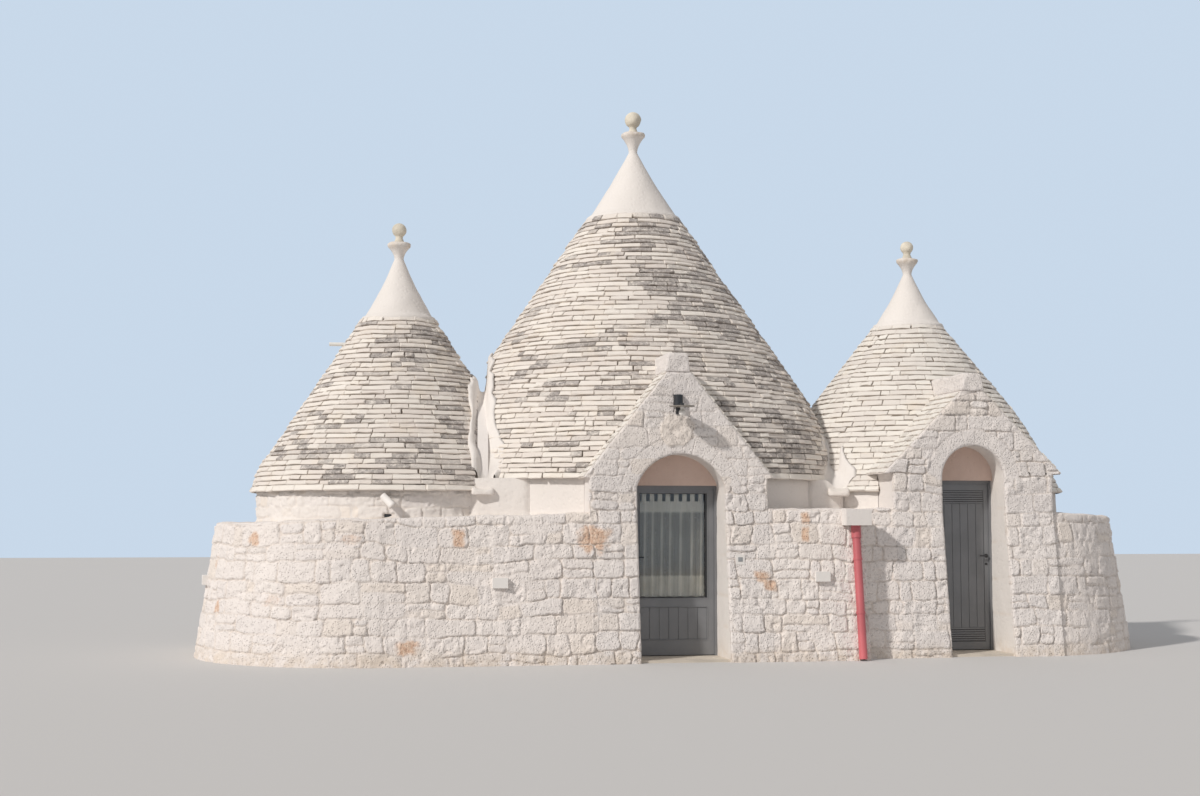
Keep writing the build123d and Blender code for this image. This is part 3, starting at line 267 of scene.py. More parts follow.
ENAMEL = plain("lamp_enamel", (0.24, 0.215, 0.185), 0.45, 20.0, 0.08)


def glass_material():
    m = Look("window_glass", (0.95, 0.95, 0.93), 0.04)
    sockets = {"Transmission Weight": 1.0, "IOR": 1.45, "Specular IOR Level": 0.2}
    return m.finish(sockets, m.noise(2.0, 2.0), 0.05, 0.002)


def lace_material():
    """Sheer cloth: open weave, denser along the header and the lower border."""
    m = Look("lace", (0.66, 0.64, 0.58), 0.85)
    weave = m.ramp(m.cells(160.0), 0.15, 0.5)
    cover = m.math("ADD", 0.24, m.math("MULTIPLY", m.attribute("dense"), 0.52))
    cover = m.math("ADD", cover, m.math("MULTIPLY", weave, 0.14))
    colour = m.mix(m.ramp(m.noise(5.0, 3.0), 0.3, 0.7), (0.66, 0.61, 0.52), (0.78, 0.73, 0.64))
    return m.finish({"Alpha": cover, "Base Color": colour}, weave, 0.2, 0.002)


GLASS = glass_material()
LACE = lace_material()


# Pieces from arrays of points
def piece(name, verts, faces, mat, slot, body="house", smooth=True, **values):
    mesh = bpy.data.meshes.new(name)
    mesh.from_pydata(np.asarray(verts).reshape(-1, 3).tolist(), [], np.asarray(faces).tolist())
    for key, numbers in values.items():
        data = mesh.attributes.new(key, "FLOAT", "POINT")
        data.data.foreach_set("value", np.ascontiguousarray(np.ravel(numbers), dtype=np.float32))
    mesh.polygons.foreach_set("use_smooth", [smooth] * len(mesh.polygons))
    mesh.materials.append(mat)
    obj = bpy.data.objects.new(name, mesh)
    bpy.context.scene.collection.objects.link(obj)
    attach(obj, body)
    return obj


def plaster(name, verts, faces, **values):
    return piece(name, verts, faces, PLASTER, "lime_plaster", **values)


def grid_faces(rows, columns, close=False):
    """Quads of a grid whose points run along its columns first."""
    i = np.arange(rows - 1)[:, None] * columns
    j = np.arange(columns if close else columns - 1)[None, :]
    a, b = i + j, i + (j + 1) % columns
    return stack(a, b, b + columns, a + columns).reshape(-1, 4)


def around(room, r, angle, z):
    """Points about a room's axis."""
    return stack(room.x + r * np.cos(angle), room.y + r * np.sin(angle), z)


def distances(points):
    """Distance along a line of points in a plane, from its first point."""
    return np.concatenate([[0], np.cumsum(np.hypot(*np.diff(points, axis=0).T))])


class Bricks:
    """Rough coursed stonework over a wall: rows of stones of uneven size, with smeared joints."""
    LOW, HIGH = -0.3, 3.7

    def __init__(self, seed, start, end, height, long, depth):
        self.seed, self.depth = seed, depth
        rng = np.random.default_rng(seed)
        rows = [self.LOW]
        while rows[-1] < self.HIGH:
            rows.append(rows[-1] + rng.uniform(*height))
        self.rows = np.array(rows)
        self.ends = []
        for _ in rows:
            ends = [start - rng.uniform(0.3, 0.8)]
            while ends[-1] < end + 0.5:
                ends.append(ends[-1] + rng.uniform(*long) * rng.choice([0.7, 1.0, 1.25]))
            self.ends.append(np.array(ends))

    def __call__(self, s, z):
        """Height of the surface, tone of each stone and share of the joint."""
        seed, p = self.seed, flat_points(s, z)
        s2 = s + 0.040 * noise(p, 0.42, seed + 1) + 0.014 * noise(p, 0.11, seed + 2)
        s2 = s2 + 0.006 * noise(p, 0.045, seed + 15)
        z2 = z + 0.045 * noise(p, 0.75, seed + 3) + 0.014 * noise(p, 0.13, seed + 4)
        z2 = z2 + 0.006 * noise(p, 0.05, seed + 16)
        row = np.clip(np.searchsorted(self.rows, z2) - 1, 0, len(self.rows) - 2)
        low, high = self.rows[row], self.rows[row + 1]
        left, right, index = np.zeros_like(s), np.ones_like(s), np.zeros(s.shape, np.int64)
        for r in np.unique(row):
            here, ends = row == r, self.ends[r]
            j = np.clip(np.searchsorted(ends, s2[here]) - 1, 0, len(ends) - 2)
            left[here], right[here], index[here] = ends[j], ends[j + 1], j

        def pick(k):
            """One random value from 0 to 1 for each stone."""
            return lattice(row, index, 0, seed + k)

        # Some places hold two thin stones, one on the other
        two = (pick(5) < 0.24) & (high - low > 0.17)
        middle = low + (high - low) * (0.38 + 0.24 * pick(6))
        upper = two & (z2 > middle)
        low, high = np.where(upper, middle, low), np.where(two & ~upper, middle, high)
        index = index + 1000 * upper
        side, up = np.minimum(s2 - left, right - s2), np.minimum(z2 - low, high - z2)
        corner = 0.015 + 0.05 * pick(17)
        d = corner - np.hypot(np.maximum(corner - side, 0), np.maximum(corner - up, 0))
        face = step(0.002, 0.013, np.where((side > corner) & (up > corner), np.minimum(side, up), d))
        offset = 0.014 * (pick(7) - 0.5)
        lean = (pick(8) - 0.5) * 0.10 * (z2 - (low + high) / 2)
        turn = (pick(9) - 0.5) * 0.07 * (s2 - (left + right) / 2)
        kind = pick(18)
        rough = (0.004 + 0.007 * kind) * hills(p, 0.085, seed + 10, 2) + 0.003 * noise(p, 0.026, seed + 14)
        pits = step(0.35, 0.75, noise(p, 0.055, seed + 19)) * (kind > 0.62) * 0.014
        smear = 0.80 * self.depth * step(-0.02, 0.80, noise(p, 0.33, seed + 20))
        height = smear * (1 - face) + (self.depth + offset + lean + turn - pits) * face + rough
        tone = pick(11) * face + 0.5 * (1 - face)
        return np.maximum(height, -0.004), tone, (1 - face) * (1 - smear / self.depth)


def roof_radius(room):
    """Radius of a roof at a height: a straight cone, then an arc through its brow down to its eave."""
    r0, z0, r1, z1 = room.line
    points = np.array([(r1, z1), room.brow, (room.eave, room.eave_z)])
    cx, cz = np.linalg.solve(2 * (points[1:] - points[0]), (points[1:] ** 2 - points[0] ** 2).sum(1))
    radius = math.hypot(r1 - cx, z1 - cz)

    def at(z):
        z = np.asarray(z, float)
        line = r1 + (z1 - z) * (r1 - r0) / (z0 - z1)
        return np.where(z > z1, line, cx + np.sqrt(np.maximum(radius ** 2 - (z - cz) ** 2, 0)))

    return at


# A valley's own directions: across it to the right, and along it to the back
def across(valley, x, y):
    return x * math.cos(valley.turn) - y * math.sin(valley.turn)


def along(valley, x, y):
    return x * math.sin(valley.turn) + y * math.cos(valley.turn)


def in_valley(valley, a, t, z):
    """Points from their distances across and along a valley."""
    sin, cos = math.sin(valley.turn), math.cos(valley.turn)
    return stack(a * cos + t * sin, t * cos - a * sin, z)


def valley_top(v, t):
    """Height of the plaster in a valley along its length."""
    share = np.where(t < v.crest, (t - v.front) / (v.crest - v.front), (v.back - t) / (v.back - v.crest))
    return VALLEY_FOOT + (v.top - VALLEY_FOOT) * np.sin(np.clip(share, 0, 1) * PI / 2) ** 0.75


def in_gate(gate, x, y, z):
    """Inside the body of a portal above its piers."""
    share = np.clip((z - gate.gable_z) / (gate.top_z - gate.gable_z), 0, 1)
    half = np.where(z < gate.gable_z, gate.half, gate.wide + (CAPSTONE_HALF - gate.wide) * share)
    body = (np.abs(x - gate.x) < half) & (z < gate.top_z)
    stone = (np.abs(x - gate.x) < CAPSTONE_HALF) & (z < gate.top_z + 0.215)
    return (body | stone) & (y < gate.back)


# Where each roof is open to the air; the plaster of the left valley laps over its front part
def lapped(x, y):
    return 0.02 * (along(LEFT_VALLEY, x, y) < 0.4)


def main_free(x, y, z):
    return ((across(LEFT_VALLEY, x, y) > LEFT_VALLEY.high + lapped(x, y))
            & (across(RIGHT_VALLEY, x, y) < RIGHT_VALLEY.low) & ~in_gate(MAIN_GATE, x, y, z))


def left_free(x, y, z):
    return across(LEFT_VALLEY, x, y) < LEFT_VALLEY.low - lapped(x, y)


def right_free(x, y, z):
    a, t = across(RIGHT_VALLEY, x, y), along(RIGHT_VALLEY, x, y)
    filled = (a < RIGHT_VALLEY.high) & (t > RIGHT_VALLEY.front - 0.03) & (t < RIGHT_VALLEY.back)
    filled &= z < valley_top(RIGHT_VALLEY, t)
    inside_main = np.hypot(x, y) < MAIN.radius(np.clip(z, MAIN.eave_z, 5.8))
    pier = (np.abs(x - RIGHT_GATE.x) < RIGHT_GATE.half) & (y < RIGHT_GATE.back) & (z < RIGHT_GATE.spring)
    return ~filled & ~inside_main & ~pier & ~in_gate(RIGHT_GATE, x, y, z)


for room, free in ((MAIN, main_free), (LEFT, left_free), (RIGHT, right_free)):
    room.radius, room.free = roof_radius(room), free


def free_spans(free):
    """Stretches of a circle, as pairs of angles, where the samples are free."""
    if free.all():
        return [(0.0, 2 * PI)]
    spans, start, count = [], None, len(free)
    first = int(np.argmin(free))
    for k in range(first, first + count + 1):
        if free[k % count] and start is None:
            start = k
        if not free[k % count] and start is not None:
            spans.append((start * 2 * PI / count, (k - 1) * 2 * PI / count))
            start = None
    return spans


def stones_mesh(place, starts, ends, lows, highs, out, seed):
    """Slabs over a surface; place(s, z, out) gives points, the other arguments hold a value for each slab."""
    bevel, sunk, rows, columns = 0.011, 0.012, 4, 5
    rng = np.random.default_rng(seed)
    count = len(starts)
    gap = rng.uniform(0.0, 0.0015, (count, 2))
    gap = gap + (rng.random((count, 2)) < 0.10) * rng.uniform(0.004, 0.012, (count, 2))
    length, height = ends - starts, highs - lows
    starts, ends = starts + gap[:, 0], ends - gap[:, 1]
    edge_u = np.clip(bevel / np.maximum(length, 0.03), 0, 0.3)
    edge_v = np.clip(bevel / np.maximum(height, 0.02), 0, 0.3)
    zero = np.zeros(count)
    U = np.repeat(stack(zero, edge_u, zero + 0.52, 1 - edge_u, zero + 1)[:, None, :], rows, 1)
    V = np.repeat(stack(zero, edge_v, 1 - edge_v, zero + 1)[:, :, None], columns, 2)
    jitter = rng.normal(0, 1, (count, rows, columns, 3))
    tilt, under = rng.normal(0, 0.045, count), rng.uniform(0.001, 0.005, count)
    over, twist = rng.uniform(0.0, 0.002, count), rng.normal(0, 0.05, count)
    starts, ends, lows, height, out, tilt, under, over, twist = (
        value[:, None, None] for value in (starts, ends, lows, height, out, tilt, under, over, twist))
    S = starts + U * (ends - starts) + 0.0035 * jitter[..., 0]
    Z = lows + under + V * (height - under - over) + 0.0024 * jitter[..., 1] + tilt * (U - 0.5) * height
    edge = np.outer([0.80, 1, 1, 0.40], [0.74, 1, 1, 1, 0.74])
    lift = edge * out * (1.28 - 0.50 * V) + 0.0026 * jitter[..., 2] + twist * (U - 0.5) * 0.06
    front = place(S, Z, lift)
    order = [(0, k) for k in range(columns)] + [(k, columns - 1) for k in range(1, rows)]
    order += [(rows - 1, k) for k in range(columns - 2, -1, -1)] + [(k, 0) for k in range(rows - 2, 0, -1)]
    a, b = np.array(order).T
    back = place(S[:, a, b], Z[:, a, b], np.full((count, len(order)), -sunk))
    verts = np.concatenate([front.reshape(count, rows * columns, 3), back], 1)
    inner, outer = a * columns + b, rows * columns + np.arange(len(order))
    skirt = stack(outer, np.roll(outer, -1), np.roll(inner, -1), inner)
    faces = np.concatenate([grid_faces(rows, columns), skirt])
    faces = (faces[None] + (np.arange(count) * verts.shape[1])[:, None, None]).reshape(-1, 4)
    # Painted shade for each slab: full on its skirt down in the joint, strong along its top under the course
    # above, light on its sides and bottom
    shade = np.zeros((rows, columns))
    shade[:, [0, -1]] = 0.25
    shade[0] = 0.30
    shade[-1] = 0.85
    dark = np.concatenate([shade.ravel(), np.ones(len(order))])
    return verts.reshape(-1, 3), faces, np.tile(dark, count), verts.shape[1]


def cone_stones(name, room, seed, course, out, mat, growth, top):
    """The slabs of a roof, course by course, where it is open to the air.
    growth is how common grey lichen is: the first value on the sunny left, the second at the right."""
    rng = np.random.default_rng(seed)
    samples = 1440
    angle = np.arange(samples) * 2 * PI / samples
    slabs = []
    z, high = room.eave_z - 0.012, room.eave_z + 0.062
    while z < top - course * 0.5:
        middle = max((z + high) / 2, room.eave_z)
        first = z < room.eave_z
        longer = 1.4 if first else 1
        r = float(room.radius(middle))
        for a, b in free_spans(room.free(*around(room, r, angle, 0 * angle + middle).T)):
            run = (b - a) * r
            if run < 0.04:
                continue
            cuts = [0.0]
            while cuts[-1] < run:
                cuts.append(cuts[-1] + rng.uniform(0.15, 0.36) * rng.choice([0.6, 1.0, 1.2]) * longer)
            cuts = a * r + np.array(cuts) * run / cuts[-1]
            for start, end in zip(cuts, cuts[1:]):
                slabs.append((start, end, z, high, rng.uniform(*out) + 0.012 * first, r, first))
        z = high
        high = min(z + course * rng.uniform(0.88, 1.12), top)
        if top - high < course * 0.5:
            high = top
    starts, ends, lows, highs, lifts, courses, first = np.array(slabs).T

    def place(s, z, lift):
        theta = s / courses.reshape((-1,) + (1,) * (s.ndim - 1))
        wave = stack(np.cos(theta), np.sin(theta), z * 0.9)
        inner = np.clip(z, room.eave_z, room.line[1] - 0.03)
        slope = (room.radius(inner) - room.radius(inner + 0.02)) / 0.02
        normal = 1 / np.sqrt(1 + slope ** 2)
        rr = room.radius(inner) + lift * normal + 0.010 * noise(wave, 0.45, seed + 40)
        zz = z + lift * slope * normal + 0.009 * noise(wave, 0.35, seed + 41) * (z > room.eave_z + 0.02)
        return around(room, rr, theta, zz)

    verts, faces, dark, per = stones_mesh(place, starts, ends, lows, highs, lifts, seed + 1)
    count = len(starts)
    theta = (starts + ends) / 2 / courses
    centre = stack(courses * np.cos(theta) * 0.6, courses * np.sin(theta) * 0.6, lows * 2.0)
    tone = np.where(first > 0, 1.3, rng.uniform(0, 1, count))
    grown = hills(centre, 0.42, seed + 5, 2) * 0.50 + rng.normal(0, 0.34, count)
    share = growth[0] + (growth[1] - growth[0]) * (0.5 + 0.5 * np.cos(theta + 0.5))
    edge = 0.66 - 0.9 * share
    lichen = step(edge, edge + 0.40, grown) * (1 - first)
    # rim carries the painted shade of the slabs' tops and joints
    return piece(name, verts, faces, mat, "roof_stone", smooth=False, tone=np.repeat(tone, per),
                 lichen=np.repeat(lichen, per), rim=dark)


cone_stones("main_roof_stones", MAIN, 11, 0.065, (0.014, 0.032), ROOF, (0.27, 0.90), 5.80)
cone_stones("left_roof_stones", LEFT, 23, 0.062, (0.014, 0.030), ROOF, (0.24, 0.74), 4.33)
cone_stones("right_roof_stones", RIGHT, 37, 0.068, (0.012, 0.020), WHITE_ROOF, (0.05, 0.25), 4.36)


# Wall skins: rough stonework in front of the base, following its batter and its round ends
def outline(points, spacing):
    """Even points and outward normals along a path of lines and arcs; an arc is (cx, cy, radius, a0, a1)."""
    places, normals = [], []
    for number, item in enumerate(points):
        end = number == len(points) - 1
        if len(item) == 2:
            (x0, y0), (x1, y1) = item
            run = math.hypot(x1 - x0, y1 - y0)
            n = max(2, int(run / spacing))
            t = np.arange(n + end) / n
            places.append(stack(x0 + (x1 - x0) * t, y0 + (y1 - y0) * t))
            normals.append(np.tile([(y1 - y0) / run, (x0 - x1) / run], (len(t), 1)))
        else:
            cx, cy, radius, a0, a1 = item
            n = max(2, int(abs(a1 - a0) * (radius + 0.1) / spacing))
            a = a0 + (a1 - a0) * np.arange(n + end) / n
            normal = stack(np.cos(a), np.sin(a))
            places.append(np.array([cx, cy]) + normal * radius)
            normals.append(normal)
    return np.concatenate(places), np.concatenate(normals)


def ledge_height(x):
    return np.interp(x, [LEFT_X, PORTAL_RIGHT, RIGHT_GATE.x, RIGHT_X], [1.64, LEDGE, LEDGE, 1.72])


def battered(z):
    """How far the base stands out at a height."""
    return BATTER * np.maximum(0, 1 - z / LEDGE)


# Worn places: distance along the wall, height, half width, half height and strength
BARE_SPOTS = [
    (-5.115, 1.46, 0.08, 0.08, 0.9), (-3.9, 1.464, 0.13, 0.07, 0.62), (-2.645, 1.462, 0.075, 0.11, 1),
    (-1.04, 1.45, 0.19, 0.14, 1), (-5.666, 0.649, 0.06, 0.09, 0.9), (-5.889, 1.174, 0.07, 0.09, 0.6),
    (-3.24, 0.215, 0.12, 0.075, 0.95), (1.571, 1.711, 0.055, 0.08, 1), (1.562, 1.504, 0.055, 0.10, 1),
    (1.0, 1.0, 0.09, 0.07, 0.95), (1.1, 0.90, 0.09, 0.07, 0.95), (-4.75, 0.75, 0.12, 0.08, 0.55),
]


def bare_at(s, z):
    """Where the wash has worn off and the ochre stone shows."""
    out = np.zeros_like(s)
    for cs, cz, rs, rz, strength in BARE_SPOTS:
        away = (np.abs((s - cs) / rs) ** 3.5 + np.abs((z - cz) / rz) ** 3.5) ** (1 / 3.5)
        away = away + 0.25 * noise(flat_points(s, z), 0.07, 140)
        out = np.maximum(out, strength * np.clip(1.55 - 0.95 * away, 0, 1))
    return out


FRONT_STONES = Bricks(101, -13, 12, (0.14, 0.25), (0.16, 0.46), 0.021)
BACK_STONES = Bricks(108, 0, 14, (0.14, 0.26), (0.2, 0.5), 0.017)
SKIN = 0.012


def wall_skin(name, path, spacing, end_s, stones=FRONT_STONES):
    """A stretch of the base wall; end_s is the distance along the front at its right end."""
    place, normal = outline(path, spacing)
    s = distances(place)
    s = s + end_s - s[-1]
    wave = flat_points(s, 0 * s)
    top = ledge_height(place[:, 0]) + 0.007 * noise(wave, 0.11, 130) + 0.008 * noise(wave, 0.33, 131)
    rows = int(1.75 / spacing)
    S = np.repeat(s[None], rows, 0)
    Z = np.linspace(0, 1, rows)[:, None] * top
    height, tone, rim = stones(S, Z)
    out = battered(Z) + SKIN + height * (0.4 + 0.6 * step(0, 0.025, top - Z))
    parts = [stack(*(place[:, k] + normal[:, k] * out for k in (0, 1)), Z)]
    # The edge of the ledge turns back over the base
    turn = [(-0.004, 0.010), (-0.03, 0.016), (-0.09, 0.012), (-0.13, -0.012)]
    parts += [stack(*(place + normal * back).T, top + up)[None] for back, up in turn]
    verts = np.concatenate(parts)
    more = ((0, len(turn)), (0, 0))
    rim, Z = np.pad(rim, more), verts[..., 2]
    tone, S = (np.pad(value, more, "edge") for value in (tone, S))
    return piece(name, verts, grid_faces(*Z.shape), WALL, "limewashed_rubble", tone=tone, rim=rim,
                 bare=bare_at(S, Z) * (1 - 0.45 * rim), dirt=step(0.28, 0.0, Z) * 0.8)


def left_end(y, first, last):
    return LEFT_END_X, y, LEFT_END_R, first * PI, last * PI


def right_end(y, first, last):
    return RIGHT_END_X, y, RIGHT_END_R, first * PI, last * PI


wall_skin("wall_stones_left_end_back", [left_end(LEFT_END_BACK, 0.75, 1)], 0.024,
          LEFT_END_X - LEFT_END_R * PI / 2 - (LEFT_END_BACK - LEFT_END_FRONT))
wall_skin("wall_stones_left_end", [((LEFT_X, LEFT_END_BACK), (LEFT_X, LEFT_END_FRONT)),
                                   left_end(LEFT_END_FRONT, 1, 1.5)], 0.0138, LEFT_END_X)
for name, y, first, last, spacing in [("front_left", FACADE_Y, LEFT_END_X, PORTAL_LEFT, 0.0112),
                                      ("front_right", FACADE_Y, PORTAL_RIGHT, STEP_X, 0.0112),
                                      ("set_back", SET_BACK_Y, STEP_X, RIGHT_PORTAL_LEFT, 0.011)]:
    wall_skin("wall_stones_" + name, [((first, y), (last, y))], spacing, last)
wall_skin("wall_stones_right_end", [right_end(RIGHT_END_FRONT, 1.5 + 0.175 / PI, 2),
                                    ((RIGHT_X, RIGHT_END_FRONT), (RIGHT_X, RIGHT_END_BACK)),
                                    right_end(RIGHT_END_BACK, 0, 0.25)], 0.0195, 9.35)
for name, path, end in [
        ("right", [right_end(RIGHT_END_BACK, 0.25, 0.5),
                   ((RIGHT_END_X, RIGHT_BACK_Y), (2.2, RIGHT_BACK_Y))], 5),
        ("middle", [(0, 0, 2.79, 0.198 * PI, 0.792 * PI)], 11),
        ("left", [((-2.15, BACK_Y), (LEFT_END_X, BACK_Y)), left_end(LEFT_END_BACK, 0.5, 0.75)], 14)]:
    wall_skin("wall_stones_back_" + name, path, 0.027, end, BACK_STONES)


# Portal fronts: stonework from the arch's edge to the gable's outline
def gate_curves(gate, count):
    """Matching points along the arch and the outline, from the left foot over the top to the right foot,
    and the directions into the opening."""
    radius = (gate.open ** 2 + gate.rise ** 2) / (2 * gate.rise)
    sweep = math.asin(gate.open / radius)
    jamb = int(count * 0.28)
    over = count - 2 * jamb
    rising = gate.spring * np.linspace(0, 1, jamb, endpoint=False)

    def with_sides(x, half, top):
        left, right = np.full(jamb, x - half), np.full(jamb, x + half)
        return np.concatenate([stack(left, rising), top, stack(right, rising[::-1])])

    arc = np.linspace(-sweep, sweep, over)
    arch = stack(gate.open_x + radius * np.sin(arc), gate.spring + gate.rise - radius + radius * np.cos(arc))
    side = [(gate.half, gate.spring), (gate.half, gate.gable_z - 0.005), (gate.wide, gate.gable_z + 0.005),
            (CAPSTONE_HALF, gate.top_z)]
    corners = np.array([(gate.x - d, z) for d, z in side] + [(gate.x + d, z) for d, z in side[::-1]])
    lengths = distances(corners)
    gable = stack(*(np.interp(np.linspace(0, lengths[-1], over), lengths, c) for c in corners.T))
    inner = with_sides(gate.open_x, gate.open, arch)
    tangent = np.gradient(inner, axis=0)
    tangent /= np.hypot(*tangent.T)[:, None]
    return inner, with_sides(gate.x, gate.half, gable), stack(tangent[:, 1], -tangent[:, 0])


def gate_skin(name, gate, spacing, boss=None):
    inner, outer, inward = gate_curves(gate, int(8.6 / spacing))
    share = np.linspace(0, 1, int(0.75 / spacing))[:, None, None]
    flat = inner + (outer - inner) * share
    X, Z = flat[..., 0], flat[..., 1]
    p = flat_points(X, Z)
    height, tone, rim = FRONT_STONES(X, Z)
    reach = np.hypot(*(flat - inner).transpose(2, 0, 1))
    high = step(gate.spring - 0.02, gate.spring + 0.02, Z)
    if boss:
        # The gable has larger stones whose joints are almost closed by the wash
        height = height + high * (0.010 - 0.45 * height)
        rim = rim * (1 - 0.5 * high)
    # A smooth ring of wedge stones round the arch
    ring = step(0.20, 0.185, reach) * high
    angle = np.arctan2(X - gate.open_x, Z - gate.spring + 0.15)
    radial = np.abs((angle / 0.24 + 0.3 * noise(flat_points(angle, 0 * X), 0.2, 206)) % 1 - 0.5)
    ring_joint = np.exp(-((reach - 0.195) / 0.010) ** 2) * high + step(0.45, 0.5, radial) * ring
    smooth = 0.016 + 0.004 * hills(p, 0.12, 204, 2)
    height = height * (1 - ring) + smooth * ring - 0.006 * np.minimum(ring_joint, 1)
    rim = rim * (1 - ring) + 0.35 * ring_joint
    if boss:
        # A rough block of bare stone over the arch
        bx, bz, half_w, half_h = boss
        aside, above = np.abs(X - bx) / half_w, np.abs(Z - bz) / half_h
        away = np.maximum(np.maximum(aside, above), (aside + above) / 1.42) + 0.09 * noise(p, 0.13, 209)
        lump = step(1.06, 0.94, away)
        height = height * (1 - lump) + lump * (0.030 + 0.012 * hills(p, 0.06, 212, 2))
        rim = rim * (1 - lump) + 0.75 * np.exp(-((away - 1.0) / 0.06) ** 2)
        tone = tone * (1 - lump) + lump
    outer_away = np.hypot(*(flat - outer).transpose(2, 0, 1))
    edge = np.where(Z > LEDGE - 0.01, step(0.0, 0.02, outer_away), 1)
    fade = (0.5 + 0.5 * step(0.0, 0.02, reach)) * (0.4 + 0.6 * edge)
    Y = gate.face - battered(Z) - SKIN - height * fade
    rows = [stack(X, Y, Z)]
    for side, back in [(0.010, 0.018), (0.004, 0.08)]:
        turn = inner + inward * side
        rows.insert(0, stack(turn[:, 0], Y[0] + back, turn[:, 1])[None])
    rows.append(stack(X[-1] + 0.004 * np.sign(X[-1] - gate.x), Y[-1] + 0.05, Z[-1])[None])
    verts = np.concatenate(rows)
    X, Z = verts[..., 0], verts[..., 2]
    tone, rim = (np.pad(value, ((2, 1), (0, 0)), "edge") for value in (tone, rim))
    return piece(name, verts, grid_faces(*tone.shape), PORTAL, "lime_plaster", tone=tone, rim=rim,
                 bare=bare_at(X, Z) * (1 - 0.45 * rim), dirt=step(0.25, 0.0, Z) * 0.8)


gate_skin("main_portal_face", MAIN_GATE, 0.0125, boss=(-0.02, 2.76, 0.205, 0.185))
gate_skin("right_portal_face", RIGHT_GATE, 0.0145)


def gate_reveal(name, gate, back, joints):
    """The sides and the soffit of an entrance, as far back as its door frame."""
    inner, _, inward = gate_curves(gate, 200)
    front = gate.face - battered(inner[:, 1]) - 0.010
    Y = front + (back - front) * np.linspace(0, 1, 22)[:, None]
    X, Z = (inner[:, k] + 0 * Y for k in (0, 1))
    p = stack(Y, Z, np.sign(X - gate.open_x) * 2)
    rim = np.zeros_like(Y)
    for z in joints:
        rim = np.maximum(rim, np.exp(-((Z + 0.012 * noise(p, 0.2, 221) - z) / 0.012) ** 2))
    lift = 0.007 + 0.0035 * hills(p, 0.16, 222, 3) - 0.004 * rim
    verts = stack(X + inward[:, 0] * lift, Y, Z + inward[:, 1] * lift)
    return plaster(name, verts, grid_faces(*Y.shape)[:, ::-1], tone=0.5 + 0.4 * noise(p, 0.7, 223), rim=rim,
                   dirt=step(0.3, 0.0, Z) * 0.7)


gate_reveal("main_portal_reveal", MAIN_GATE, -2.372, (0.42, 0.78, 1.28, 1.70))
gate_reveal("right_portal_reveal", RIGHT_GATE, -2.122, (0.5, 0.95, 1.42, 1.85))


def capstone(name, low, high, narrow, seed):
    """A worn block of stone: rounded edges, an uneven face, and a top narrower than its foot."""
    corner, rough = 0.03, 0.012
    build = bmesh.new()
    bmesh.ops.create_cube(build, size=1)
    bmesh.ops.subdivide_edges(build, edges=build.edges[:], cuts=15, use_grid_fill=True)
    low, high = np.array(low), np.array(high)
    share = np.array([v.co for v in build.verts])
    size = high - low
    q = share * size
    core = np.clip(q, corner - size / 2, size / 2 - corner)
    off = q - core
    far = np.linalg.norm(off, axis=1, keepdims=True)
    q = core + off / np.maximum(far, 1e-9) * np.minimum(far, corner)
    q[:, 0] *= 1 - narrow * (share[:, 2] + 0.5)
    place = q + (low + high) / 2
    place += q / np.linalg.norm(q, axis=1, keepdims=True) * (rough * hills(place, 0.11, seed, 3))[:, None]
    faces = [[v.index for v in face.verts] for face in build.faces]
    build.free()
    return piece(name, place, faces, PORTAL, "lime_plaster", tone=np.full(len(place), 0.5))


stone = capstone("main_capstone", (-0.165, -2.832, 3.462), (0.155, -1.975, 3.70), 0.22, 231)
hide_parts("portal_capstones")
capstone("right_capstone", (3.70, -2.582, 3.306), (4.01, -1.445, 3.54), 0.2, 232)


def gate_slope(name, gate, side, seed):
    """The slabs on one slope of a portal's roof, from its front edge back to the cone."""
    rng = np.random.default_rng(seed)
    room, rise, run = gate.room, gate.top_z - gate.gable_z, gate.wide - CAPSTONE_HALF
    length = math.hypot(rise, run)
    slabs = []
    z = gate.gable_z
    while z < gate.top_z - 0.02:
        high = min(z + 0.068 * rng.uniform(0.9, 1.12), gate.top_z)
        middle = (z + high) / 2
        x = gate.wide - run * (middle - gate.gable_z) / rise
        r = float(room.radius(max(middle, room.eave_z + 0.001)))
        dx = gate.x + side * x - room.x
        back = room.y - math.sqrt(max(r * r - dx * dx, 0.01)) + 0.03
        cuts = [gate.face - 0.012]
        while cuts[-1] < back:
            cuts.append(cuts[-1] + rng.uniform(0.14, 0.34))
        cuts = np.array(cuts)
        if len(cuts) > 2:
            cuts[1:] = cuts[0] + (cuts[1:] - cuts[0]) * (back - cuts[0]) / (cuts[-1] - cuts[0])
        slabs += [(start, end, z, high) for start, end in zip(cuts, cuts[1:])]
        z = high
    nx, nz = side * rise / length, run / length

    def place(s, z, lift):
        x = gate.wide - run * (z - gate.gable_z) / rise
        return stack(gate.x + side * x + nx * lift, s, z + nz * lift)

    count = len(slabs)
    lifts = rng.uniform(0.014, 0.026, count)
    verts, faces, dark, per = stones_mesh(place, *np.array(slabs).T, lifts, seed + 1)
    # rim carries the painted shade of the slabs' tops and joints
    return piece(name, verts, faces[:, ::side], WHITE_ROOF, "roof_stone", smooth=False,
                 tone=np.repeat(rng.uniform(0.3, 1, count), per),
                 lichen=np.repeat(step(0.8, 1.0, rng.uniform(0, 1, count)), per), rim=dark * 0.8)


gate_slope("main_portal_roof_left", MAIN_GATE, -1, 301)
gate_slope("main_portal_roof_right", MAIN_GATE, 1, 302)
gate_slope("right_portal_roof_left", RIGHT_GATE, -1, 303)
gate_slope("right_portal_roof_right", RIGHT_GATE, 1, 304)


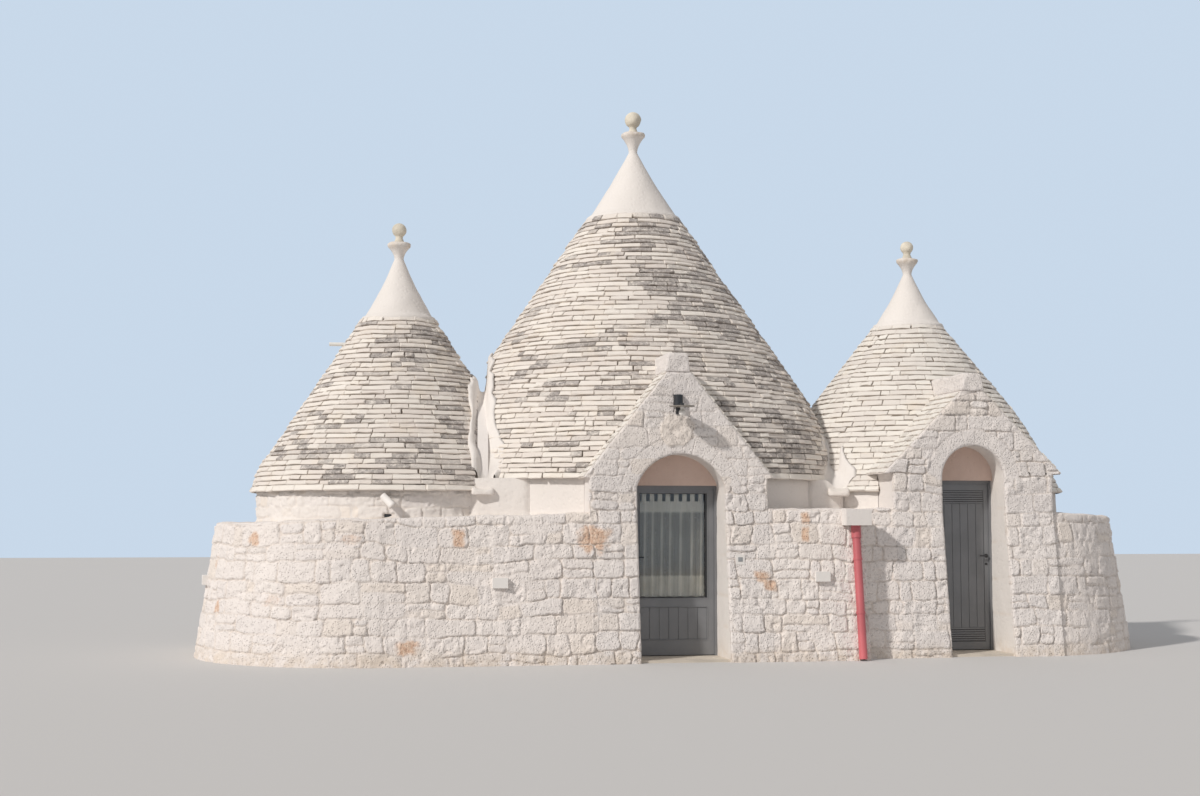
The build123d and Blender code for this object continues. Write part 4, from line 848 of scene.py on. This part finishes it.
# Round walls under the eaves: smooth plaster, or small rubble under its wash
def drum_skin(name, room, free, seed, stones=None, slot_at=None):
    samples, r = 900, room.drum
    angle = np.arange(samples) * 2 * PI / samples
    for k, (a, b) in enumerate(free_spans(free(*around(room, r, angle, 0 * angle + room.eave_z - 0.05).T))):
        spacing = 0.0135 if stones else 0.024
        n = max(4, int((b - a) * r / spacing))
        theta = np.linspace(a - 0.004, b + 0.004, n)
        foot = ledge_height(room.x + r * np.cos(theta)) - 0.01
        rows = int(0.42 / spacing)
        Z = foot + np.linspace(0, 1, rows)[:, None] * (room.eave_z - foot)
        T = np.repeat(theta[None], rows, 0)
        p = stack(np.cos(T) * r, np.sin(T) * r, Z)
        if stones:
            rubble, tone, rim = stones(T * r, Z)
            height = rubble + 0.006 * hills(p, 0.35, seed, 2)
        else:
            height = 0.006 + 0.006 * hills(p, 0.35, seed, 3)
            tone, rim = 0.5 + 0.4 * noise(p, 0.6, seed + 4), np.zeros_like(Z)
        out = r + 0.010 + height + 0.02 * step(0.05, 0.0, Z - foot)
        if slot_at:
            beside = np.abs((T - slot_at[0] + PI) % (2 * PI) - PI) * r
            hole = step(0.075, 0.06, beside) * step(0.035, 0.022, np.abs(Z - slot_at[1]))
            out = out - hole * (height + 0.006)
            # The vent slot's recess also takes the joint tint as painted shade
            rim = np.maximum(rim, hole)
        # Darker just above the ledge, and painted shade in a band under the eave
        plaster(f"{name}_{k}", around(room, out, T, Z), grid_faces(rows, n), tone=tone, rim=rim * 0.6,
                dirt=0.7 * step(0.06, 0.0, Z - foot) + 0.5 * step(0.05, 0.0, room.eave_z - Z))


def main_wall_free(x, y, z):
    return main_free(x, y, z) & ~((np.abs(x - MAIN_GATE.x) < MAIN_GATE.half) & (y < -0.6))


VENT_ANGLE, VENT_Z = math.radians(-96), 1.735
drum_skin("main_round_wall_plaster", MAIN, main_wall_free, 401)
drum_skin("left_round_wall_stones", LEFT, left_free, 411,
          Bricks(412, 0, 16, (0.09, 0.15), (0.14, 0.34), 0.014), (VENT_ANGLE, VENT_Z))
drum_skin("right_round_wall_plaster", RIGHT, right_free, 421)


# Valleys: plaster laid between two roofs and lapped over their slabs
def valley_skin(name, valley, left, right, seed):
    t = np.linspace(valley.front, valley.back, 190)
    bed = valley_top(valley, t) + 0.014
    wave = flat_points(t, 0 * t)
    sides = []
    for k, (room, edge, sign) in enumerate([(left, valley.low, -1), (right, valley.high, 1)]):
        ca, ct = across(valley, room.x, room.y), along(valley, room.x, room.y)
        left_over = room.radius(np.minimum(bed + 0.05, room.line[1])) ** 2 - (t - ct) ** 2
        if room is RIGHT:
            left_over = np.where(t < -0.85, left_over, -1)
        surface = ca - sign * np.sqrt(np.maximum(left_over, 0))
        over = np.maximum(sign * (surface - edge), 0)
        keep = (1 - step(0.14, 0.30, over)) * (left_over > 0)
        near = edge + sign * over * keep
        lap = (0.06 + 0.035 * noise(wave, 0.22, seed + k) + 0.018 * noise(wave, 0.08, seed + 5 + k)) * keep
        heights = np.linspace(room.line[1], room.eave_z, 300)
        part = []
        for reach, up in [(1.0, -0.02), (0.97, 0.078), (0.5, 0.105), (0.0, 0.100)]:
            a = near + sign * lap * reach
            z = np.interp(np.hypot(a - ca, t - ct), room.radius(heights), heights) + up
            part.append((a, np.where(left_over > 0, np.maximum(z, bed - 0.03), bed - 0.03)))
        sides.append(part)
    first, last = sides[0], sides[1][::-1]
    (a0, z0), (a1, z1) = first[-1], last[0]
    middle = []
    for w, up in [(0.10, 0.45), (0.22, 0.12), (0.4, 0.02), (0.6, 0.02), (0.78, 0.12), (0.90, 0.45)]:
        middle.append((a0 + (a1 - a0) * w, bed + up * np.maximum((z0 if w < 0.5 else z1) - bed, 0)))
    A, Z = (np.stack(values) for values in zip(*(first + middle + last)))
    T = np.repeat(t[None], len(A), 0)
    T[:, 0] -= 0.01
    Z = Z + 0.005 * hills(stack(A, T, 0 * A), 0.14, seed + 9, 3)
    Z[:, [0, -1]] -= 0.06
    return plaster(name, in_valley(valley, A, T, Z), grid_faces(*A.shape)[:, ::-1],
                   tone=0.5 + 0.4 * noise(stack(A, T, Z), 0.5, seed + 12), rim=0 * A)


valley_skin("left_valley_plaster", LEFT_VALLEY, LEFT, MAIN, 441)
valley_skin("right_valley_plaster", RIGHT_VALLEY, MAIN, RIGHT, 461)


def seam_skin(name, low, high, side, seed):
    """Plaster along the line where the right roof meets the middle one; side is -1 in front and 1 behind."""
    z = np.linspace(low, high, 90)
    r1, r2 = MAIN.radius(z), RIGHT.radius(z)
    gap, towards = math.hypot(RIGHT.x, RIGHT.y), math.atan2(RIGHT.y, RIGHT.x)
    wave = flat_points(z, 0 * z)
    columns = []
    main_laps = [(1.0, -0.01), (0.96, 0.036), (0.55, 0.050), (0.2, 0.056)]
    right_laps = [(0.2, 0.056), (0.55, 0.044), (0.96, 0.030), (1.0, -0.01)]
    for k, room, r, other, facing, turn, laps in [(0, MAIN, r1, r2, towards, side, main_laps),
                                                  (2, RIGHT, r2, r1, towards + PI, -side, right_laps)]:
        meet = np.arccos(np.clip((gap ** 2 + r ** 2 - other ** 2) / (2 * gap * r), -1, 1))
        lap = 0.07 + 0.03 * noise(wave, 0.24, seed + k) + 0.012 * noise(wave, 0.08, seed + 1 + k)
        columns += [around(room, r + up, facing + turn * (meet + lap * reach / r), z) for reach, up in laps]
    verts = np.stack(columns, 1)
    verts = verts + 0.004 * stack(*(hills(verts, 0.1, seed + 5 + k, 2) for k in range(3)))
    zero = np.zeros(verts.shape[:2])
    return plaster(name, verts, grid_faces(*zero.shape)[:, ::-side], tone=zero + 0.5, rim=zero)


seam_skin("right_valley_seam_front", 2.10, 3.13, -1, 471)
seam_skin("right_valley_seam_back", 2.40, 3.13, 1, 475)


def web(name, first, last, low, high, drop, seed):
    """A plaster fill between a round wall and the end of a valley; its top sinks by drop at its right end."""
    u, v = np.meshgrid(np.linspace(0, 1, 34), np.linspace(0, 1, 22))
    X, Y = (first[k] + (last[k] - first[k]) * u for k in (0, 1))
    Z = low + (high - low - drop * step(0.45, 0.95, u)) * v
    Y = Y - 0.012 * np.sin(PI * u) - 0.006 * hills(stack(X, Y, Z), 0.12, seed, 3) - 0.02 * step(0.15, 0, v)
    Y = Y + 0.035 * (step(0.14, 0, u) + step(0.86, 1, u))
    return plaster(name, stack(X, Y, Z), grid_faces(*X.shape), tone=0 * X + 0.5, rim=0 * X,
                   dirt=0.4 * step(0.2, 0, v))


web("left_valley_fill", (-2.47, -1.875), (-1.66, -2.075), 1.72, 2.20, 0.0, 477)
web("right_valley_fill", (1.90, -1.862), (2.42, -1.757), 1.80, 2.20, 0.16, 478)


def spout(name, valley, seed):
    """The rough lip at the front of a valley, hollowed where the water runs."""
    half, low = 0.138, 1.99
    side = [(-0.4, -0.03), (-0.9, 0), (-1, 0.3), (-1, 0.8),
            (-0.94, 1.14), (-0.8, 1.2), (-0.55, 1.08), (-0.2, 1.02)]
    loop = side[1:] + [(-u, v) for u, v in side[::-1]] + side[:1]
    rings = []
    for t, top, narrow in [(0.09, 2.09, 1), (0.02, 2.09, 1), (-0.04, 2.085, 1), (-0.09, 2.07, 1),
                           (-0.14, 2.06, 0.99), (-0.175, 2.05, 0.94), (-0.188, 2.045, 0.8),
                           (-0.19, 2.04, 0.4), (-0.19, 2.04, 0.01)]:
        centre = (low + top) / 2
        rings.append([(u * half * narrow, valley.front + t,
                       centre + (low + v * (top - low) - centre) * narrow) for u, v in loop])
    p = np.array(rings)
    p = p + 0.006 * stack(*(hills(p, 0.07, seed + k, 2) for k in range(3)))
    A, zero = (valley.low + valley.high) / 2 + p[..., 0], 0 * p[..., 0]
    verts = in_valley(valley, A, p[..., 1], p[..., 2])
    return plaster(name, verts, grid_faces(*A.shape, close=True)[:, ::-1], tone=zero + 0.6, rim=zero,
                   dirt=zero + 0.25)


spout("left_spout", LEFT_VALLEY, 481)
spout("right_spout", RIGHT_VALLEY, 485)


# Turned shapes on the roofs
def lathe(profile, n):
    """Radii, angles and heights of a turned shape, and its points for noise."""
    T = np.repeat(np.linspace(0, 2 * PI, n, endpoint=False)[None], len(profile), 0)
    R, Z = (np.array(values)[:, None] + 0 * T for values in zip(*profile))
    return R, T, Z, stack(np.cos(T) * R, np.sin(T) * R, Z)


def cap(name, room, edge, neck, rim_r, rim_z, seed):
    """Hand-smoothed plaster over the top of a roof, narrowing to a neck and widening to a cup."""
    (r0, z0), (n0, nz) = edge, neck
    profile = [(r0 + 0.025, z0 - 0.05), (r0 + 0.030, z0 - 0.01), (r0 + 0.012, z0 + 0.03)]
    for t in np.linspace(0.06, 1, 22):
        profile.append((r0 + (n0 - r0) * t - 0.020 * math.sin(PI * t), z0 + (nz - z0) * t))
    for t in np.linspace(0.15, 1, 8):
        profile.append((n0 + (rim_r - n0) * t ** 1.9, nz + (rim_z - 0.05 - nz) * t))
    profile += [(rim_r + 0.004, rim_z - 0.03), (rim_r + 0.002, rim_z - 0.004), (rim_r - 0.02, rim_z + 0.006),
                (0.04, rim_z + 0.008)]
    R, T, level, p = lathe(profile, 72)
    worn = step(rim_z - 0.11, rim_z - 0.03, level)
    R = R + (0.012 * noise(p, 0.35, seed) + 0.004 * noise(p, 0.09, seed + 1)) * np.clip(R / 0.3, 0.15, 1)
    R = R * (1 + 0.05 * worn * hills(p, 0.05, seed + 4, 2))
    Z = level + (0.016 * noise(p, 0.22, seed + 2) + 0.010 * noise(p, 0.07, seed + 3)) * (level < z0)
    Z = Z - 0.012 * worn * np.maximum(noise(p, 0.08, seed + 5), 0)
    return plaster(name, around(room, R, T, Z), grid_faces(*T.shape, close=True), tone=0 * R + 0.5,
                   rim=0 * R, dirt=worn)


caps = [
    cap("main_cap", MAIN, (0.637, 5.81), (0.060, 6.77), 0.165, 7.045, 501),
    cap("left_cap", LEFT, (0.465, 4.335), (0.060, 5.15), 0.148, 5.37, 502),
    cap("right_cap", RIGHT, (0.458, 4.37), (0.060, 5.11), 0.145, 5.33, 503),
]
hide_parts("roof_caps")


def finial(name, room, rim_z, ball, seed):
    """A weathered stone ball on a short moulded foot."""
    foot, rise = 0.052, 0.08
    centre = rim_z + rise + ball
    profile = [(foot * 1.45, rim_z - 0.005), (foot * 1.4, rim_z + 0.012), (foot * 1.15, rim_z + rise * 0.5),
               (foot * 0.92, rim_z + rise * 0.9)]
    for a in np.linspace(math.asin(min(0.95, foot * 1.1 / ball)), PI, 22):
        profile.append((ball * math.sin(a), centre - ball * math.cos(a)))
    R, T, Z, p = lathe(profile, 36)
    R = R * (1 + 0.05 * noise(p, 0.06, seed) + 0.02 * noise(p, 0.02, seed + 1))
    return piece(name, around(room, R, T, Z - 0.003), grid_faces(*T.shape, close=True), FINIAL, "pale_stone")


balls = [
    finial("main_finial", MAIN, 7.045, 0.113, 511),
    finial("left_finial", LEFT, 5.37, 0.096, 512),
    finial("right_finial", RIGHT, 5.33, 0.088, 513),
]
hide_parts("finials")


# Joinery and fittings
def boards(name, boxes, bevel, mat, slot, body="house"):
    """Several bevelled boards or strips as one piece; each box is its two corners."""
    build = bmesh.new()
    for low, high in boxes:
        for v in bmesh.ops.create_cube(build, size=1)["verts"]:
            v.co = Vector([(low[i] + high[i]) / 2 + v.co[i] * (high[i] - low[i]) for i in range(3)])
    bmesh.ops.bevel(build, geom=build.edges[:], offset=bevel, segments=2, affect="EDGES", profile=0.5)
    verts = [tuple(v.co) for v in build.verts]
    faces = [[v.index for v in face.verts] for face in build.faces]
    build.free()
    return piece(name, verts, faces, mat, slot, body, smooth=False)


def joinery(name, body, boxes, bevel):
    return boards(name, boxes, bevel, GREY_PAINT, "grey_door_paint", body)


def board_run(x0, x1, count, gap, front, back, low, high):
    """Upright boards side by side."""
    pitch = (x1 - x0) / count
    return [((x0 + pitch * k + gap / 2, front, low), (x0 + pitch * (k + 1) - gap / 2, back, high))
            for k in range(count)]


def surround(x0, x1, z0, z1, wide, front, back):
    """Four strips round a panel."""
    return [((x0, front, z0), (x1, back, z0 + wide)), ((x0, front, z1 - wide), (x1, back, z1)),
            ((x0, front, z0 + wide), (x0 + wide, back, z1 - wide)),
            ((x1 - wide, front, z0 + wide), (x1, back, z1 - wide))]


def box_at(x, y, z):
    """A box from its ranges in X, Y and Z."""
    return (x[0], y[0], z[0]), (x[1], y[1], z[1])


joinery("main_door_boards", "main_door",
        board_run(-0.386, 0.456, 7, 0.006, -2.3405, -2.331, 0.232, 0.618), 0.0028)
joinery("main_door_panel_bead", "main_door",
        surround(-0.396, 0.466, 0.218, 0.632, 0.013, -2.351, -2.334), 0.003)
joinery("main_door_glazing_bead", "main_door",
        surround(-0.402, 0.472, 0.720, 2.025, 0.013, -2.352, -2.341), 0.003)
boards("main_door_gasket", surround(-0.390, 0.460, 0.732, 2.013, 0.007, -2.348, -2.338)
       + [box_at((0.436, 0.455), (-2.347, -2.338), (0.738, 2.008))], 0.001, BLACK, "black_metal", "main_door")
joinery("right_door_boards", "right_door",
        board_run(3.537, 4.173, 6, 0.006, -2.0905, -2.081, 0.315, 1.895), 0.0028)
SLAT_BOTTOMS = [low + 0.0285 * k for low in (0.150, 1.925) for k in range(5)]
joinery("right_door_louvres", "right_door",
        [box_at((3.537, 4.173), (-2.093, -2.082), (z, z + 0.020)) for z in SLAT_BOTTOMS], 0.0025)
joinery("right_door_rails", "right_door",
        [box_at((3.534, 4.176), (-2.096, -2.081), z) for z in ((0.294, 0.312), (1.898, 1.916))], 0.003)
boards("right_door_louvre_shadow",
       [box_at((3.536, 4.174), (-2.0842, -2.0822), z) for z in ((0.14, 0.293), (1.917, 2.064))],
       0.0005, BLACK, "grey_door_paint", "right_door")
# A black plate in the slot of the left round wall: painted shadow for the dark inside of the vent
vent_x, vent_y = (LEFT.x + 1.794 * math.cos(VENT_ANGLE), LEFT.y + 1.794 * math.sin(VENT_ANGLE))
boards("left_wall_vent_painted_shadow", [box_at((vent_x - 0.055, vent_x + 0.055), (vent_y - 0.003, vent_y + 0.006),
                                 (VENT_Z - 0.02, VENT_Z + 0.02))], 0.002, BLACK, "black_metal")


def tube(name, start, end, profile, mat, slot):
    """A round body along a line; profile holds distances from its start and radii."""
    n = 40
    start, end = Vector(start), Vector(end)
    axis = (end - start).normalized()
    side = axis.orthogonal().normalized()
    other = axis.cross(side)
    rim = [side * math.cos(2 * PI * k / n) + other * math.sin(2 * PI * k / n) for k in range(n)]
    verts = [tuple(start + axis * far + out * r) for far, r in profile for out in rim]
    return piece(name, verts, grid_faces(len(profile), n, close=True), mat, slot)


spot = tube("left_spotlight", (-3.505, -2.125, 1.985), (-3.36, -2.175, 1.83),
            [(0, 0.001), (0, 0.032), (0.004, 0.038), (0.012, 0.042), (0.15, 0.044), (0.152, 0.048),
             (0.188, 0.049), (0.190, 0.046), (0.176, 0.042), (0.174, 0.001)], WHITE_PLASTIC, "white_plastic")
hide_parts("spotlight")
boards("left_spotlight_bracket", [((-3.475, -2.128, 1.925), (-3.435, -2.025, 1.962))], 0.006, WHITE_PLASTIC,
       "white_plastic")
bell_low, bell_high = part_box("door_bell")
bell_x, bell_z = (bell_low.x + bell_high.x) / 2, (bell_low.z + bell_high.z) / 2
bell_box = box_at((bell_x - 0.027, bell_x + 0.027), (bell_low.y - 0.005, bell_low.y + 0.004),
                  (bell_z - 0.024, bell_z + 0.028))
boards("door_bell_button", [bell_box], 0.002, GREY_PLASTIC, "grey_plastic")


def lace_curtain():
    """Sheer cloth hung by eight tabs, with a lace header and a deep lace border."""
    x0, x1, low, high = -0.372, 0.442, 0.748, 1.913
    border, header = 0.996, 1.79
    ridges = np.array([-0.05, 0.083, 0.203, 0.346, 0.474, 0.639, 0.813, 0.962, 1.08])
    columns, rows, tabs = 193, 40, 8
    u, v = np.meshgrid(np.linspace(0, 1, columns), np.linspace(0, 1, rows))
    phase = np.interp(u + 0.02 * (1 - v), ridges, np.arange(len(ridges))) * 2 * PI
    wave = 0.0068 * np.cos(phase) + 0.0016 * np.sin(phase * 3 + 1.0 + v) + 0.0008 * np.sin(phase * 5 + 2.0)
    X = x0 + (x1 - x0) * u + 0.002 * np.sin(phase * 2)
    Y = -2.286 - wave * (0.55 + 0.45 * (1 - v) ** 0.5)
    Z = low + (high - low) * v + 0.004 * np.cos(phase) * (v < 0.01)
    verts = stack(X, Y, Z).reshape(-1, 3)
    faces = [grid_faces(rows, columns)]
    dense = np.where(Z < border, 0.8, 0.0) + np.where(Z > header, 1.0, 0.0)
    dense = dense + 0.3 * np.exp(-((Z - border) / 0.006) ** 2)
    ridge = (0.5 + 0.5 * np.cos(phase)) ** 5
    fine = (0.5 + 0.5 * np.cos(phase * 3 + 1.0 + v)) ** 4
    density = [(dense + np.where(Z < header, 0.62 * ridge + 0.22 * fine, 0.1 * ridge)).ravel()]
    # Each tab goes up in front of the rod, over it and down behind
    tab, pitch = 13, columns / tabs
    path = [(-2.2925, 1.94), (-2.2925, 1.98), (-2.2925, 2.02), (-2.2905, 2.0315), (-2.286, 2.0345),
            (-2.2815, 2.0315), (-2.2795, 2.02), (-2.2795, 1.97), (-2.280, 1.93)]
    for k in range(tabs):
        first = int(pitch * (k + 0.5) - tab / 2)
        along_top = np.arange(first, first + tab + 1)
        x = X[-1, along_top]
        rings = np.array([stack(x, 0 * x + y, 0 * x + z) for y, z in path])
        new = len(verts) + np.arange(rings[..., 0].size).reshape(rings.shape[:2])
        verts = np.concatenate([verts, rings.reshape(-1, 3)])
        grid = np.concatenate([((rows - 1) * columns + along_top)[None], new])
        faces.append(stack(grid[:-1, :-1], grid[:-1, 1:], grid[1:, 1:], grid[1:, :-1]).reshape(-1, 4))
        density.append(np.full(new.size, 1.3))
    obj = piece("door_lace_curtain", verts, np.concatenate(faces), LACE, "lace", "main_door",
                dense=np.concatenate(density))
    width = float(np.hypot(np.diff(X[rows // 2]), np.diff(Y[rows // 2])).sum())
    tab_length = sum(math.dist(a, b) for a, b in zip(path, path[1:])) + math.dist(path[0], (-2.286, high))
    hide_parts("main_door_curtain")


lace_curtain()

# The CAD nodes that stay get their materials
DRESS = {
    WALL: """left_end_wall_front left_end_wall_back front_wall_left room_arch back_wall_left
        main_back_wall_left main_back_wall_right back_wall_right room_wall_right front_wall_right
        stepped_back_wall right_end_wall_front right_end_wall_back""",
    PLASTER: """main_left_pier main_right_pier right_left_pier right_right_pier main_gable right_gable
        portal_capstones main_drum_left main_drum_right left_drum_front left_drum_back
        right_drum left_valley right_valley hopper""",
    LUNETTE: "door_lunettes",
    # The roof bodies take the painted gap shade
    GAP: "main_cone_left main_cone_right main_cone_top left_cone right_cone",
    SLAB: "floor thresholds",
    GREY_PAINT: "main_door_frame main_door_leaf right_door_frame right_door_leaf",
    GLASS: "main_door_glass",
    STEEL: "curtain_rod main_hinge_knuckles right_hinge_knuckles door_hinge_pins",
    BLACK: "main_door_handle right_door_handle entrance_lamp",
    ENAMEL: "lamp_shade",
    WHITE_PLASTIC: "lamp_bulb door_bell wall_lights spotlight",
    RED_PIPE: "downpipe pipe_brackets hopper_neck",
    PIPE_WHITE: "roof_vent",
}
for mat, names in DRESS.items():
    for name in names.split():
        mesh = NODES[name].data
        mesh.materials.clear()
        mesh.materials.append(mat)


# Floor, light and camera
def add_object(name, data):
    obj = bpy.data.objects.new(name, data)
    bpy.context.scene.collection.objects.link(obj)
    return obj


floor_mesh = bpy.data.meshes.new("studio_floor")
floor_mesh.from_pydata([(-60, -40, 0), (60, -40, 0), (60, 60, 0), (-60, 60, 0)], [], [(0, 1, 2, 3)])
floor_mesh.materials.append(Look("studio_floor", (0.62, 0.61, 0.60), 0.9).mat)
ground = add_object("studio_floor", floor_mesh)

# Soft light from all round, and a pale blue that only shows directly, in reflections and through glass
world = bpy.data.worlds.new("studio")
bpy.context.scene.world = world
world.use_nodes = True
sky = Tree(world.node_tree)
sky.put(world.node_tree.nodes["Background"], {"Color": (0.95, 0.93, 0.93), "Strength": 0.43})
seen = sky.add("Background", {"Color": (0.58, 0.69, 0.82), "Strength": 1.0})[0]
rays = sky.add("LightPath")
direct = sky.math("MAXIMUM", rays["Is Camera Ray"], rays["Is Glossy Ray"])
direct = sky.math("MAXIMUM", direct, rays["Is Transmission Ray"])
choose = sky.add("MixShader", {0: direct, 1: world.node_tree.nodes["Background"].outputs[0], 2: seen})[0]
sky.put(world.node_tree.nodes["World Output"], {"Surface": choose})

# A broad lamp far away, from the left front; its turn counts from straight in front towards the left
key = bpy.data.lights.new("key", "SUN")
key.energy = 2.4
key.angle = math.radians(3)
key.color = (1.0, 0.955, 0.905)
turn, climb = math.radians(57), math.radians(35)
source = Vector((-math.sin(turn) * math.cos(climb), -math.cos(turn) * math.cos(climb), math.sin(climb)))
lamp = add_object("key", key)
lamp.rotation_mode = "QUATERNION"
lamp.rotation_quaternion = source.to_track_quat("Z", "Y")

camera = bpy.data.cameras.new("camera")
camera.lens = 49.8
camera.sensor_width = 36
camera_object = add_object("camera", camera)
camera_object.location = (-4.40, -22.32, 1.65)
camera_object.rotation_euler = (math.radians(94.3), 0, math.radians(-10))
bpy.context.scene.camera = camera_object
bpy.context.scene.view_settings.view_transform = "Standard"
